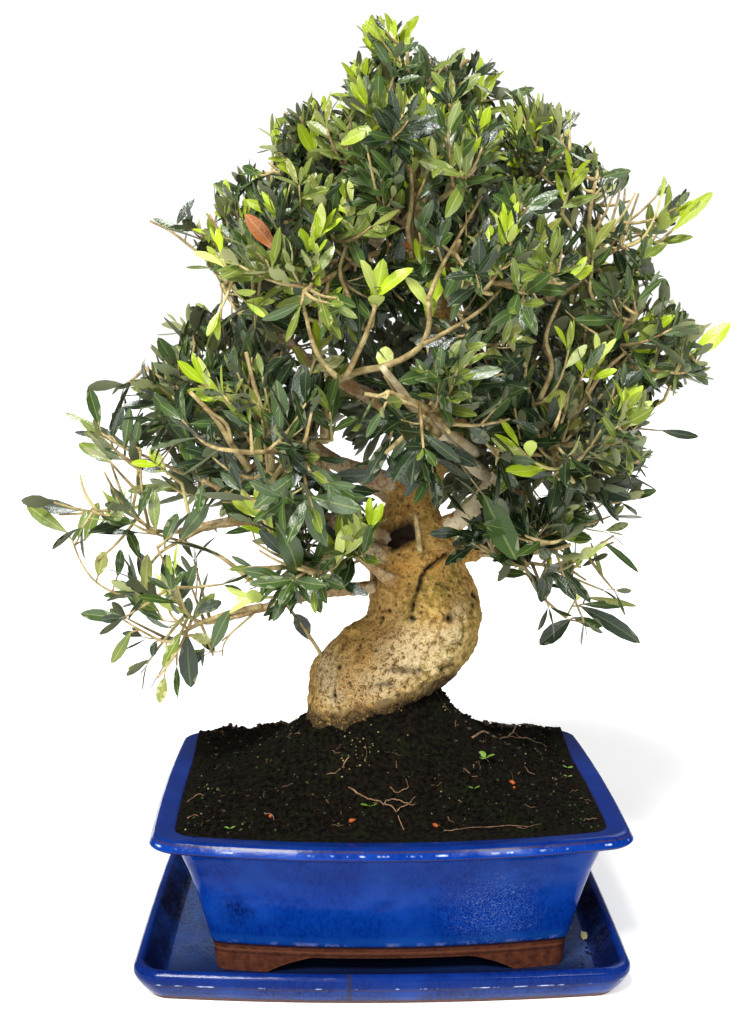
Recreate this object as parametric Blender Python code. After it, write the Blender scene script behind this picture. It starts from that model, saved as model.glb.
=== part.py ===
"""An olive bonsai with a thick curved trunk, in a glazed rectangular pot that stands in its drip tray.

Lengths are metres and +Z is up. The front of the plant faces -Y. The origin is the middle of the
tray's flat underside.
"""

import math
import random

import bmesh
import bpy
import numpy as np
from mathutils import Matrix, Vector
from mathutils.bvhtree import BVHTree

# Clearance kept between two pieces that rest on each other
GAP = 0.0003

# Outlines of the pot and tray: steps round a corner and along a side, and the short sides' share of the bow
CORNER_STEPS = 3
LONG_STEPS = 5
SHORT_STEPS = 1
SIDE_BOW = 0.15

# Drip tray
TRAY_HALF = (0.1865, 0.1446)
TRAY_RIDGE = 0.0245
TRAY_TOP = 0.0262
TRAY_FLOOR = 0.0065
TRAY_BOW = 0.0108
TRAY_CORNER = 0.020
TRAY_PROFILE = (
    (0.0120, 0.0), (0.0100, 0.0030), (0.0045, 0.0140), (0.0008, 0.0215), (0.0000, TRAY_RIDGE),
    (0.0035, TRAY_TOP), (0.0105, TRAY_TOP), (0.0138, 0.0250), (0.0215, 0.0095), (0.0255, TRAY_FLOOR),
)

# Pot: the rim is the widest outline, and every other outline is set in from it
POT_PLACE = (0.0052, -0.0031)
POT_TURN = math.radians(0.94)
RIM_HALF = (0.180, 0.1344)
RIM_TOP = 0.1250
RIM_BOW = 0.0238
RIM_CORNER = 0.017
SIDE_SHARE = 0.84
FOOT_BOTTOM = TRAY_FLOOR + GAP
GLAZE_LINE = 0.0300
POT_UNDERSIDE = 0.0210
POT_FLOOR = 0.0270
FOOT_WALL = 0.013
ARCH_FRONT = 0.0950
ARCH_SIDE = 0.056
ARCH_RAMP = 0.033
ARCH_STEP = (0.0140, 0.0142)
ARCH_TOP = 0.0205
# Pot profiles, as distance in from the rim's outline and height
POT_OUTSIDE = (
    (0.0460, FOOT_BOTTOM), (0.0450, 0.0160), (0.0435, GLAZE_LINE - 0.0010), (0.0418, GLAZE_LINE + 0.0010),
    (0.0375, 0.0500), (0.0325, 0.0700), (0.0270, 0.0890), (0.0215, 0.1040), (0.0180, 0.1115),
    (0.0040, 0.1145), (0.0010, 0.1160), (0.0000, 0.1200), (0.0025, 0.1245), (0.0060, RIM_TOP),
)
POT_INSIDE = ((0.0179, 0.1238), (0.0205, 0.1170), (0.0300, 0.0900), (0.0430, 0.0500), (0.0530, POT_FLOOR))

# Soil: where it leaves the pot's wall, its edge, and its rings as shares of that edge
SOIL_SHOULDER = 0.1165
SOIL_EDGE = 0.1225
SOIL_DRAW_IN = 0.0004
SOIL_RINGS = (1.0, 0.90, 0.74, 0.60, 0.46, 0.32, 0.14)
MOUND_TOP = (-0.002, 0.014)
MOUND_HEIGHT = 0.070
MOUND_REACH = (0.100, 0.085)

# Trunk: height, middle across, middle in depth, half width, half depth, lean of the section
GROUND = 0.1500
TRUNK = (
    (GROUND, -0.0100, 0.012, 0.0500, 0.0460, 0),
    (0.1900, -0.0085, 0.010, 0.0500, 0.0450, 0),
    (0.2030, -0.0010, 0.010, 0.0570, 0.0480, 0),
    (0.2200, 0.0085, 0.010, 0.0625, 0.0500, 0),
    (0.2350, 0.0170, 0.010, 0.0610, 0.0490, 0),
    (0.2490, 0.0285, 0.009, 0.0535, 0.0460, 0),
    (0.2600, 0.0370, 0.008, 0.0470, 0.0430, 0),
    (0.2750, 0.0365, 0.008, 0.0450, 0.0420, 0),
    (0.2910, 0.0320, 0.009, 0.0422, 0.0390, 0),
    (0.3050, 0.0285, 0.010, 0.0375, 0.0360, 0),
    (0.3200, 0.0300, 0.012, 0.0355, 0.0330, 0),
    (0.3320, 0.0290, 0.014, 0.0300, 0.0280, 0),
    (0.3470, 0.0260, 0.015, 0.0225, 0.0220, 3),
    (0.3650, 0.0270, 0.014, 0.0195, 0.0190, 10),
    (0.4010, 0.0430, 0.012, 0.0185, 0.0180, 27),
    (0.4420, 0.0650, 0.010, 0.0165, 0.0160, 20),
    (0.4560, 0.0690, 0.010, 0.0140, 0.0140, 4),
)
TRUNK_SIDES = 18
TRUNK_STEPS = 19

# Boughs: the limb that carries each, its size at both ends, and the points that it runs through
BOUGHS = {
    "leader": ("trunk", 0.0115, 0.0065, (
        (0.0690, 0.010, 0.448), (0.060, 0.010, 0.480), (0.044, 0.009, 0.512), (0.028, 0.008, 0.556),
        (0.023, 0.006, 0.590), (0.023, 0.005, 0.612))),
    "bough_upper_left": ("leader", 0.0065, 0.0050, (
        (0.033, 0.008, 0.540), (0.000, 0.012, 0.560), (-0.028, 0.008, 0.574))),
    "bough_upper_right": ("leader", 0.0065, 0.0048, (
        (0.027, 0.007, 0.560), (0.056, 0.014, 0.572), (0.082, 0.012, 0.586))),
    "bough_front": ("leader", 0.0070, 0.0052, (
        (0.046, 0.009, 0.508), (0.040, -0.034, 0.524), (0.026, -0.068, 0.542))),
    "bough_shoulder_right": ("leader", 0.0070, 0.0050, (
        (0.058, 0.010, 0.484), (0.098, 0.002, 0.502), (0.138, -0.004, 0.520))),
    "bough_shoulder_left": ("trunk", 0.0080, 0.0050, (
        (0.046, 0.012, 0.408), (-0.010, 0.008, 0.440), (-0.056, 0.004, 0.466), (-0.082, 0.000, 0.496))),
    "bough_left": ("trunk", 0.0095, 0.0055, (
        (0.027, 0.014, 0.362), (-0.036, 0.004, 0.386), (-0.090, -0.006, 0.404), (-0.110, -0.008, 0.418))),
    "bough_low_left": ("trunk", 0.0105, 0.0050, (
        (0.016, 0.010, 0.318), (-0.046, -0.016, 0.342), (-0.096, -0.026, 0.346), (-0.160, -0.018, 0.334))),
    "bough_lowest_left": ("trunk", 0.0062, 0.0040, (
        (0.012, 0.004, 0.286), (-0.046, -0.016, 0.284), (-0.096, -0.026, 0.273), (-0.128, -0.028, 0.264))),
    "bough_near_left": ("trunk", 0.0095, 0.0055, (
        (0.012, -0.004, 0.308), (-0.027, -0.036, 0.330), (-0.036, -0.056, 0.366), (-0.048, -0.068, 0.396))),
    "bough_low_front": ("trunk", 0.0075, 0.0048, (
        (0.024, -0.004, 0.288), (0.004, -0.038, 0.300), (-0.014, -0.052, 0.316))),
    "bough_right": ("trunk", 0.0085, 0.0050, (
        (0.064, 0.010, 0.438), (0.106, 0.010, 0.444), (0.142, 0.004, 0.456))),
    "bough_low_right": ("trunk", 0.0100, 0.0055, (
        (0.040, 0.010, 0.322), (0.074, -0.010, 0.352), (0.088, -0.026, 0.378), (0.112, -0.032, 0.386))),
    "bough_pale_front": ("bough_low_right", 0.0062, 0.0048, (
        (0.086, -0.024, 0.376), (0.058, -0.060, 0.400), (0.038, -0.088, 0.420))),
    "bough_hanging_right": ("trunk", 0.0075, 0.0048, (
        (0.048, 0.010, 0.306), (0.084, 0.004, 0.314), (0.108, -0.002, 0.308))),
    "bough_back": ("trunk", 0.0085, 0.0052, (
        (0.040, 0.012, 0.396), (0.034, 0.058, 0.412), (0.028, 0.102, 0.432))),
    "bough_back_right": ("trunk", 0.0085, 0.0052, (
        (0.058, 0.010, 0.428), (0.086, 0.046, 0.426), (0.106, 0.072, 0.428))),
    "bough_back_left": ("trunk", 0.0085, 0.0052, (
        (0.026, 0.016, 0.346), (-0.022, 0.052, 0.374), (-0.062, 0.074, 0.400))),
}
BOUGH_SIDES = 6
BOUGH_STEPS = 2

# Masses of foliage: the bough whose tip carries each, its middle and its half sizes
MASSES = {
    "foliage_apex": ("leader", (0.018, 0.000, 0.669), (0.082, 0.070, 0.060)),
    "foliage_upper_back": ("leader", (0.034, 0.110, 0.618), (0.080, 0.066, 0.062)),
    "foliage_upper_left": ("bough_upper_left", (-0.054, 0.010, 0.612), (0.068, 0.064, 0.056)),
    "foliage_shoulder_left": ("bough_shoulder_left", (-0.106, -0.012, 0.548), (0.064, 0.066, 0.056)),
    "foliage_upper_right": ("bough_upper_right", (0.113, 0.012, 0.623), (0.068, 0.066, 0.058)),
    "foliage_upper_front": ("bough_front", (0.022, -0.104, 0.606), (0.070, 0.062, 0.056)),
    "foliage_front_left": ("bough_front", (-0.060, -0.116, 0.532), (0.068, 0.060, 0.058)),
    "foliage_front_right": ("bough_front", (0.066, -0.126, 0.526), (0.068, 0.060, 0.056)),
    "foliage_far_right": ("bough_shoulder_right", (0.178, 0.000, 0.578), (0.064, 0.062, 0.058)),
    "foliage_side_right": ("bough_right", (0.200, -0.008, 0.486), (0.072, 0.066, 0.054)),
    "foliage_side_left": ("bough_left", (-0.146, 0.002, 0.438), (0.068, 0.062, 0.058)),
    "foliage_far_left": ("bough_low_left", (-0.220, -0.010, 0.360), (0.064, 0.062, 0.066)),
    "foliage_bottom_left": ("bough_lowest_left", (-0.164, -0.030, 0.270), (0.058, 0.056, 0.076)),
    "foliage_low_front_left": ("bough_near_left", (-0.078, -0.118, 0.408), (0.068, 0.062, 0.058)),
    "foliage_skirt_left": ("bough_low_front", (-0.058, -0.076, 0.322), (0.062, 0.054, 0.044)),
    "foliage_front_centre": ("bough_pale_front", (0.028, -0.148, 0.440), (0.060, 0.058, 0.058)),
    "foliage_low_front_right": ("bough_low_right", (0.122, -0.098, 0.420), (0.066, 0.062, 0.056)),
    "foliage_low_right": ("bough_low_right", (0.172, 0.000, 0.392), (0.060, 0.062, 0.056)),
    "foliage_skirt_right": ("bough_hanging_right", (0.108, -0.052, 0.334), (0.054, 0.050, 0.046)),
    "foliage_hanging_right": ("bough_hanging_right", (0.164, 0.012, 0.300), (0.060, 0.058, 0.058)),
    "foliage_back_left": ("bough_back_left", (-0.096, 0.118, 0.500), (0.078, 0.070, 0.072)),
    "foliage_back_low_left": ("bough_back_left", (-0.112, 0.100, 0.378), (0.076, 0.070, 0.066)),
    "foliage_back_centre": ("bough_back", (0.018, 0.160, 0.450), (0.078, 0.062, 0.080)),
    "foliage_back_right": ("bough_back_right", (0.140, 0.118, 0.508), (0.078, 0.070, 0.070)),
    "foliage_back_low_right": ("bough_back_right", (0.132, 0.104, 0.378), (0.074, 0.070, 0.064)),
}
# Masses that grow from another seed than their name's
OTHER_SEED = {}
CELL_MARGIN = 0.0006
LIMB_CLEARANCE = 0.0006

# Twigs and leaves of one mass
STEM_RADIUS = (0.0024, 0.0022)
TWIG_RADIUS = (0.0011, 0.0010)
TWIGS = 5
TWIG_REACH = (0.35, 0.78)
TWIG_PLACES = (0.62, 0.70, 0.78, 0.86, 0.94)
LEAVES = 22
LEAF_LENGTH = (0.060, 0.080)
LEAF_WIDTH = 0.37
LEAF_THICKNESS = 0.0024
LEAF_WIDEST = 0.44
OUTER_REACH = 1.20
# A leaf's root lies behind its twig's axis by a share of the twig's radius, or behind the twig's end
ROOT_SINK = 0.40
TIP_SINK = 0.0009
# Share of the leaves that end a twig, where the others begin along it, and the angles that they leave it at
TIP_SHARE = 0.25
STEM_LEAVES_FROM = 0.15
TWIG_LEAVES_FROM = 0.30
LEAF_LEAN = (30, 100)
# Places tried for each leaf, and how often a mass may miss before it counts as full
CANDIDATES = 60
MOST_MISSES = 25


def clear_scene():
    for obj in list(bpy.data.objects):
        bpy.data.objects.remove(obj, do_unlink=True)


def make_material(name, colour, roughness, coat=0.0):
    material = bpy.data.materials.new(name)
    material.use_nodes = True
    shader = material.node_tree.nodes["Principled BSDF"]
    shader.inputs["Base Color"].default_value = (*colour, 1.0)
    shader.inputs["Roughness"].default_value = roughness
    shader.inputs["Coat Weight"].default_value = coat
    material.diffuse_color = (*colour, 1.0)
    return material


def add_object(name, points, faces, material, smooth=False):
    mesh = bpy.data.meshes.new(name)
    mesh.from_pydata([tuple(p) for p in points], [], faces)
    mesh.materials.append(material)
    obj = bpy.data.objects.new(name, mesh)
    bpy.context.scene.collection.objects.link(obj)
    if smooth:
        mesh.shade_smooth()
        mesh.set_sharp_from_angle(angle=math.radians(40))
    return obj


def add_cutter(name, points, faces):
    cutter = add_object(name, points, faces, bpy.data.materials["cutter"])
    cutter.hide_render = True
    cutter.display_type = "WIRE"
    return cutter


def subtract(obj, cutter):
    modifier = obj.modifiers.new("cut_" + cutter.name, "BOOLEAN")
    modifier.operation = "DIFFERENCE"
    modifier.object = cutter


def outline(half, corner, bow, height):
    """A rectangle with round corners whose long sides bow outwards, as points at one height."""
    half_x, half_y = half
    arcs = []
    for side_x, side_y, start in ((1, 1, 0), (-1, 1, 90), (-1, -1, 180), (1, -1, 270)):
        angles = [math.radians(start + 90 * step / CORNER_STEPS) for step in range(CORNER_STEPS + 1)]
        arcs.append([(side_x * (half_x - corner) + corner * math.cos(angle),
                      side_y * (half_y - corner) + corner * math.sin(angle)) for angle in angles])
    points = []
    for index, arc in enumerate(arcs):
        points += arc
        steps = LONG_STEPS if index % 2 == 0 else SHORT_STEPS
        first = arc[-1]
        last = arcs[(index + 1) % 4][0]
        for step in range(1, steps + 1):
            share = step / (steps + 1)
            points.append((first[0] + (last[0] - first[0]) * share, first[1] + (last[1] - first[1]) * share))
    side_bow = SIDE_BOW * bow
    return [(x + side_bow * (x / half_x) * (1 - (y / half_y) ** 2),
             y + bow * (y / half_y) * (1 - (x / half_x) ** 2), height) for x, y in points]


def loft(rings, split=False):
    """Points and faces of the closed solid through rings of equal count. Split sides are triangles."""
    count = len(rings[0])
    points = [p for ring in rings for p in ring]
    faces = [tuple(reversed(range(count)))]
    for level in range(len(rings) - 1):
        low = level * count
        for i in range(count):
            j = (i + 1) % count
            quad = (low + i, low + j, low + count + j, low + count + i)
            faces += [quad[:3], (quad[0], *quad[2:])] if split else [quad]
    last = (len(rings) - 1) * count
    faces.append(tuple(range(last, last + count)))
    return points, faces


def set_in(half, inset):
    return (half[0] - inset, half[1] - SIDE_SHARE * inset)


def pot_ring(inset, height, shrink=0.0):
    """The pot's outline set in from its rim; shrink is a further even clearance."""
    half = set_in(RIM_HALF, inset)
    half = (half[0] - shrink, half[1] - shrink)
    bow = RIM_BOW * (half[0] / RIM_HALF[0]) ** 2
    return outline(half, max(0.006, RIM_CORNER - 0.2 * inset), bow, height)


def build_pot(material):
    """The pot on its foot, which is hollow below and cut by an arch through each pair of sides."""
    rings = [pot_ring(inset, height) for inset, height in POT_OUTSIDE + POT_INSIDE]
    pot = add_object("pot", *loft(rings), material, smooth=True)
    below = FOOT_BOTTOM - 0.005
    hollow = [pot_ring(POT_OUTSIDE[0][0] + FOOT_WALL, height) for height in (below, POT_UNDERSIDE)]
    cutters = [add_cutter("foot_hollow", *loft(hollow))]
    reach = RIM_HALF[0] + 0.02
    step_in, step_height = ARCH_STEP
    for name, wide, sideways in (("foot_arch_front", ARCH_FRONT, False), ("foot_arch_side", ARCH_SIDE, True)):
        right = [(wide, below), (wide, FOOT_BOTTOM)]
        right += [(wide - step_in, step_height), (wide - ARCH_RAMP, ARCH_TOP)]
        shape = right + [(-along, height) for along, height in reversed(right)]
        if sideways:
            ends = [[(end, along, height) for along, height in shape] for end in (-reach, reach)]
        else:
            ends = [[(along, -end, height) for along, height in shape] for end in (-reach, reach)]
        cutters.append(add_cutter(name, *loft(ends)))
    for obj in [pot] + cutters:
        obj.location = (*POT_PLACE, 0)
        obj.rotation_euler = (0, 0, POT_TURN)
    for cutter in cutters:
        subtract(pot, cutter)


def build_tray(material):
    rings = [outline(tuple(side - inset for side in TRAY_HALF), TRAY_CORNER - 0.45 * inset, TRAY_BOW, height)
             for inset, height in TRAY_PROFILE]
    add_object("tray", *loft(rings), material, smooth=True)


def mound(x, y):
    """Height of the soil above the edge of the pot's filling."""
    off = math.hypot((x - MOUND_TOP[0]) / MOUND_REACH[0], (y - MOUND_TOP[1]) / MOUND_REACH[1])
    uneven = 0.0016 * math.sin(61 * x + 1.3) * math.cos(73 * y) + 0.0010 * math.sin(140 * x - 90 * y)
    return MOUND_HEIGHT * math.exp(-off ** 2.4) + uneven


def wall_inset(height):
    """How far the top stretch of the pot's inner wall is set in from the rim at a height."""
    (top_inset, top), (low_inset, low) = POT_INSIDE[:2]
    return low_inset + (top_inset - low_inset) * (height - low) / (top - low)


def build_soil(material):
    """The soil that fills the pot, with a mound round the trunk and a socket for the trunk's buried end."""
    rings = [pot_ring(inset, height, shrink=GAP) for inset, height in reversed(POT_INSIDE[2:])]
    rings[0] = [(x, y, POT_FLOOR + GAP) for x, y, _ in rings[0]]
    rings.append(pot_ring(POT_INSIDE[1][0], SOIL_SHOULDER, shrink=GAP))
    edge = pot_ring(wall_inset(SOIL_EDGE), SOIL_EDGE, shrink=GAP + SOIL_DRAW_IN)
    for share in SOIL_RINGS:
        blend = min(1.0, (1.0 - share) * 6)
        rings.append([(x * share, y * share, SOIL_EDGE + blend * mound(x * share, y * share))
                      for x, y, _ in edge])
    soil = add_object("soil", *loft(rings), material, smooth=True)
    soil.location = (*POT_PLACE, 0)
    soil.rotation_euler = (0, 0, POT_TURN)
    socket = add_cutter("trunk_socket", *trunk_mesh(GAP))
    subtract(soil, socket)
    apply_modifiers(soil)
    bpy.data.objects.remove(socket, do_unlink=True)


def smooth_curve(knots, steps):
    """Rows on a smooth curve through the knots, with steps between one knot and the next."""
    knots = np.array(knots, float)
    ends = np.vstack([2 * knots[0] - knots[1], knots, 2 * knots[-1] - knots[-2]])
    rows = []
    for i in range(len(knots) - 1):
        a, b, c, d = ends[i:i + 4]
        for step in range(steps):
            t = step / steps
            rows.append(0.5 * (2 * b + (c - a) * t + (2 * a - 5 * b + 4 * c - d) * t ** 2
                               + (3 * b - a - 3 * c + d) * t ** 3))
    rows.append(knots[-1])
    return np.array(rows)


def trunk_mesh(grow=0.0):
    """The trunk from its flat cut at the ground to its fork, grown evenly by a clearance."""
    rows = smooth_curve(TRUNK, 4)
    keep = np.linspace(0, len(rows) - 1, TRUNK_STEPS).round().astype(int)
    rings = []
    for number, row in enumerate(rows[keep]):
        height, across, depth, wide, deep, lean = row
        if number == 0:
            height -= grow
        if number == TRUNK_STEPS - 1:
            height += grow
        turn = math.radians(lean)
        ring = []
        for side in range(TRUNK_SIDES):
            angle = 2 * math.pi * side / TRUNK_SIDES
            swell = 1 + 0.035 * math.sin(3 * angle + 90 * height) + 0.02 * math.sin(5 * angle - 60 * height)
            x = (wide * swell + grow) * math.cos(angle)
            y = (deep * swell + grow) * math.sin(angle)
            ring.append((across + x * math.cos(turn), depth + y, height - x * math.sin(turn)))
        rings.append(ring)
    return loft(rings, split=True)


def tube_frames(points):
    """For each point of a line, the way along it and two ways across, without a twist between points."""
    frames = []
    side_way = None
    for i in range(len(points)):
        along = (points[min(i + 1, len(points) - 1)] - points[max(i - 1, 0)]).normalized()
        side_way = side_way or along.orthogonal()
        side_way = (side_way - along * side_way.dot(along)).normalized()
        frames.append((along, side_way, along.cross(side_way)))
    return frames


def tube_mesh(points, radii, sides, grow=0.0):
    """A tapering tube with flat ends along points. A straight one has flat sides."""
    rings = []
    for i, (along, side_way, other) in enumerate(tube_frames(points)):
        middle = points[i]
        if i == 0:
            middle = middle - along * grow
        if i == len(points) - 1:
            middle = middle + along * grow
        ring = []
        for side in range(sides):
            angle = 2 * math.pi * side / sides
            ring.append(middle + (side_way * math.cos(angle) + other * math.sin(angle)) * (radii[i] + grow))
        rings.append(ring)
    return loft(rings, split=len(points) > 2)


def bough_path(name):
    """Points and radii of a bough. The radius falls evenly along its length."""
    _, thick, thin, knots = BOUGHS[name]
    points = smooth_curve(knots, BOUGH_STEPS)
    shares = np.linspace(0, 1, len(points))
    return [Vector(p) for p in points], [thick + (thin - thick) * share for share in shares]


def limb_mesh(name, grow=0.0):
    if name == "trunk":
        return trunk_mesh(grow)
    points, radii = bough_path(name)
    return tube_mesh(points, radii, BOUGH_SIDES, grow)


def build_boughs(material):
    for name, (parent, *_) in BOUGHS.items():
        bough = add_object(name, *limb_mesh(name), material, smooth=True)
        subtract(bough, add_cutter(name + "_seat", *limb_mesh(parent, GAP)))


def cell_margin(point, owner):
    """How far a point lies inside its own mass's share of the crown, before the nearest neighbour's."""
    _, centre, half = MASSES[owner]
    centre = Vector(centre)
    weight = (sum(half) / 3) ** 2
    best = 1.0
    for name, (_, other, other_half) in MASSES.items():
        if name == owner:
            continue
        other = Vector(other)
        other_weight = (sum(other_half) / 3) ** 2
        apart = (other - centre).length
        near = ((point - other).length_squared - other_weight - (point - centre).length_squared + weight)
        best = min(best, near / (2 * apart))
    return best


def spread(point, owner):
    """Where a point lies in its mass: 0 in the middle and 1 on its outer surface."""
    _, centre, half = MASSES[owner]
    return math.sqrt(sum(((p - c) / h) ** 2 for p, c, h in zip(point, centre, half)))


def tree_of(mesh):
    return BVHTree.FromPolygons([Vector(p) for p in mesh[0]], mesh[1])


def touches(mesh, trees):
    own = tree_of(mesh)
    return any(own.overlap(tree) for tree in trees)


def bend(start, way, end, steps, lift=0.0):
    """A curve that leaves start along way and arrives at end."""
    reach = (end - start).length
    handle = start + way * reach * 0.45 + Vector((0, 0, lift * reach))
    return [start * (1 - t) ** 2 + handle * 2 * t * (1 - t) + end * t ** 2
            for t in (step / steps for step in range(steps + 1))]


def stem_starts():
    """For each mass, the point 0.3 mm clear of its bough's tip where its stem begins, and its way out."""
    starts = {}
    for bough in BOUGHS:
        carried = [name for name, (carrier, *_) in MASSES.items() if carrier == bough]
        points, radii = bough_path(bough)
        tip = points[-1]
        way = (points[-1] - points[-2]).normalized()
        side_way = way.orthogonal().normalized()
        other = way.cross(side_way)
        angles = {}
        for name in carried:
            to_mass = Vector(MASSES[name][1]) - tip
            angles[name] = math.atan2(to_mass.dot(other), to_mass.dot(side_way))
        order = sorted(carried, key=angles.get)
        for place, name in enumerate(order):
            angle = angles[order[0]] + 2 * math.pi * place / len(order)
            offset = 0.0 if len(order) == 1 else radii[-1] - 0.75 * STEM_RADIUS[0]
            out = side_way * math.cos(angle) + other * math.sin(angle)
            starts[name] = (tip + way * GAP + out * offset, way)
    return starts


def grow_stems(limb_trees):
    """The stem of every mass, from its bough's tip into its middle, clear of all limbs and other stems."""
    stems = {}
    stem_trees = []
    for name, (start, way) in stem_starts().items():
        rng = random.Random(name)
        centre = Vector(MASSES[name][1])
        for attempt in range(60):
            wander = 0.004 + 0.0006 * attempt
            end = start.lerp(centre, 0.80) + Vector([rng.uniform(-wander, wander) for _ in range(3)])
            points = [start] + bend(start + way * 0.003, way, end, 3, lift=rng.uniform(-0.1, 0.1))
            stem = Line(points, np.linspace(*STEM_RADIUS, len(points)))
            grown = tube_mesh(points, stem.radii, 3, LIMB_CLEARANCE)
            if not touches(stem.mesh, limb_trees) and not touches(grown, stem_trees):
                break
        else:
            raise RuntimeError("no way through for the stem of " + name)
        stems[name] = stem
        stem_trees.append(tree_of(grown))
    return stems


def leaf_mesh(root, way, face_way, length):
    """A leaf of eight faces, from its root along its way, with its upper side towards face_way."""
    across = way.cross(face_way).normalized()
    upper = across.cross(way).normalized()
    widest = root + way * length * LEAF_WIDEST
    half = across * length * LEAF_WIDTH / 2
    thick = upper * LEAF_THICKNESS / 2
    points = [root, widest - half, widest + half, root + way * length, widest + thick, widest - thick]
    faces = [(0, 2, 4), (2, 3, 4), (3, 1, 4), (1, 0, 4), (2, 0, 5), (3, 2, 5), (1, 3, 5), (0, 1, 5)]
    return points, faces


class Line:
    """A stem or twig: its three-sided tube, and the places on its flat faces where others can leave it."""

    def __init__(self, points, radii):
        self.points = points
        self.radii = radii
        self.frames = tube_frames(points)
        self.mesh = tube_mesh(points, radii, 3)

    def place(self, share, side):
        """A point on the axis, the way along and the way out through one face, and the radius there."""
        at = share * (len(self.points) - 1)
        first = min(int(at), len(self.points) - 2)
        along, side_way, other = self.frames[first]
        angle = math.pi / 3 + side * 2 * math.pi / 3
        out = side_way * math.cos(angle) + other * math.sin(angle)
        point = self.points[first].lerp(self.points[first + 1], at - first)
        way = (self.points[first + 1] - self.points[first]).normalized()
        out = (out - way * out.dot(way)).normalized()
        radius = self.radii[first] + (self.radii[first + 1] - self.radii[first]) * (at - first)
        return point, way, out, radius


class Mass:
    """The twigs and leaves of one mass, grown by a seeded rule inside its own space."""

    def __init__(self, name, stem, obstacles):
        self.name = name
        self.obstacles = obstacles
        self.rng = random.Random(f"{name}_{OTHER_SEED.get(name, 0)}")
        self.centre = Vector(MASSES[name][1])
        self.half = MASSES[name][2]
        self.lines = [stem]
        self.pieces = [stem.mesh]
        self.trees = [tree_of(stem.mesh)]
        self.marks = []
        self.misses = 0

    def clear(self, mesh, carrier):
        """True where a piece keeps to the mass's space and touches no limb and no piece but its carrier."""
        for point in mesh[0]:
            if spread(point, self.name) > OUTER_REACH or cell_margin(point, self.name) < CELL_MARGIN:
                return False
        tree = tree_of(mesh)
        if any(tree.overlap(other) for other in self.obstacles):
            return False
        return not any(tree.overlap(other) for index, other in enumerate(self.trees) if index != carrier)

    def add(self, mesh):
        self.pieces.append(mesh)
        self.trees.append(tree_of(mesh))

    def targets(self):
        """Ends of the twigs, spread evenly through the mass."""
        low, high = TWIG_REACH
        options = []
        while len(options) < 200:
            way = Vector([self.rng.gauss(0, 1) for _ in range(3)]).normalized()
            share = self.rng.uniform(low, high)
            point = self.centre + Vector([w * h * share for w, h in zip(way, self.half)])
            if cell_margin(point, self.name) > 0.004:
                options.append(point)
        found = [self.lines[0].points[-1]]
        while len(found) <= TWIGS:
            found.append(max(options, key=lambda p: min((p - q).length for q in found)))
        return found[1:]

    def grow_twigs(self):
        stem = self.lines[0]
        for target in self.targets():
            options = []
            for share in TWIG_PLACES:
                for side in range(3):
                    point, _, out, _ = stem.place(share, side)
                    options.append(((target - point).normalized().dot(out), point))
            for _, point in sorted(options, key=lambda option: -option[0]):
                line = Line([point, target], TWIG_RADIUS)
                if self.clear(line.mesh, 0):
                    self.lines.append(line)
                    self.add(line.mesh)
                    break

    def candidate(self):
        """A leaf at a random place: its worth by how free it stands, its mesh, its carrier and its marks."""
        carrier = self.rng.randrange(len(self.lines) + 1) % len(self.lines)
        line = self.lines[carrier]
        length = self.rng.uniform(*LEAF_LENGTH) * (1 - 0.012 * self.misses)
        if self.rng.random() < TIP_SHARE:
            way = (line.points[-1] - line.points[-2]).normalized()
            root = line.points[-1] - way * TIP_SINK
            way = (way + Vector([self.rng.uniform(-0.12, 0.12) for _ in range(3)])).normalized()
        else:
            low = STEM_LEAVES_FROM if carrier == 0 else TWIG_LEAVES_FROM
            point, along, out, radius = line.place(self.rng.uniform(low, 0.96), self.rng.randrange(3))
            root = point - out * radius * ROOT_SINK
            turn = Matrix.Rotation(self.rng.uniform(-0.25, 0.25), 3, along)
            lean = math.radians(self.rng.uniform(*LEAF_LEAN))
            way = turn @ (out * math.sin(lean) + along * math.cos(lean))
        outward = (root + way * length * 0.5 - self.centre).normalized()
        loose = Vector([self.rng.uniform(-0.4, 0.4) for _ in range(3)])
        mesh = leaf_mesh(root, way, (outward * 0.6 + Vector((0, 0, 0.7)) + loose).normalized(), length)
        marks = [root + way * length * share for share in (0.45, 0.7, 1.0)]
        free = min([(a - b).length for a in marks for b in self.marks], default=1.0)
        return free + 0.012 * spread(marks[-1], self.name), mesh, carrier, marks

    def grow_leaves(self):
        grown = 0
        while grown < LEAVES and self.misses < MOST_MISSES:
            options = sorted((self.candidate() for _ in range(CANDIDATES)), key=lambda option: -option[0])
            for _, mesh, carrier, marks in options:
                if self.clear(mesh, carrier):
                    self.add(mesh)
                    self.marks += marks
                    grown += 1
                    break
            else:
                self.misses += 1

    def build(self, material):
        self.grow_twigs()
        self.grow_leaves()
        fuse(self.name, self.pieces, material)


def apply_modifiers(obj):
    """Replaces an object's mesh by what its modifiers make of it, as one body."""
    bpy.context.view_layer.update()
    made = bpy.data.meshes.new_from_object(obj.evaluated_get(bpy.context.evaluated_depsgraph_get()))
    keep_outer_body(made)
    obj.modifiers.clear()
    obj.data = made


def keep_outer_body(mesh):
    """Keeps the largest closed surface, which fills any hollow that fusing sealed and drops loose scraps."""
    work = bmesh.new()
    work.from_mesh(mesh)
    unseen = set(work.faces)
    bodies = []
    while unseen:
        front = [unseen.pop()]
        body = list(front)
        while front:
            face = front.pop()
            for edge in face.edges:
                for other in edge.link_faces:
                    if other in unseen:
                        unseen.remove(other)
                        front.append(other)
                        body.append(other)
        volume = sum(face.calc_center_median().dot(face.normal) * face.calc_area() for face in body) / 3
        bodies.append((volume, body))
    largest = max(volume for volume, _ in bodies)
    loose = [face for volume, body in bodies if volume < largest for face in body]
    bmesh.ops.delete(work, geom=loose, context="FACES")
    work.to_mesh(mesh)
    work.free()


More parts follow.
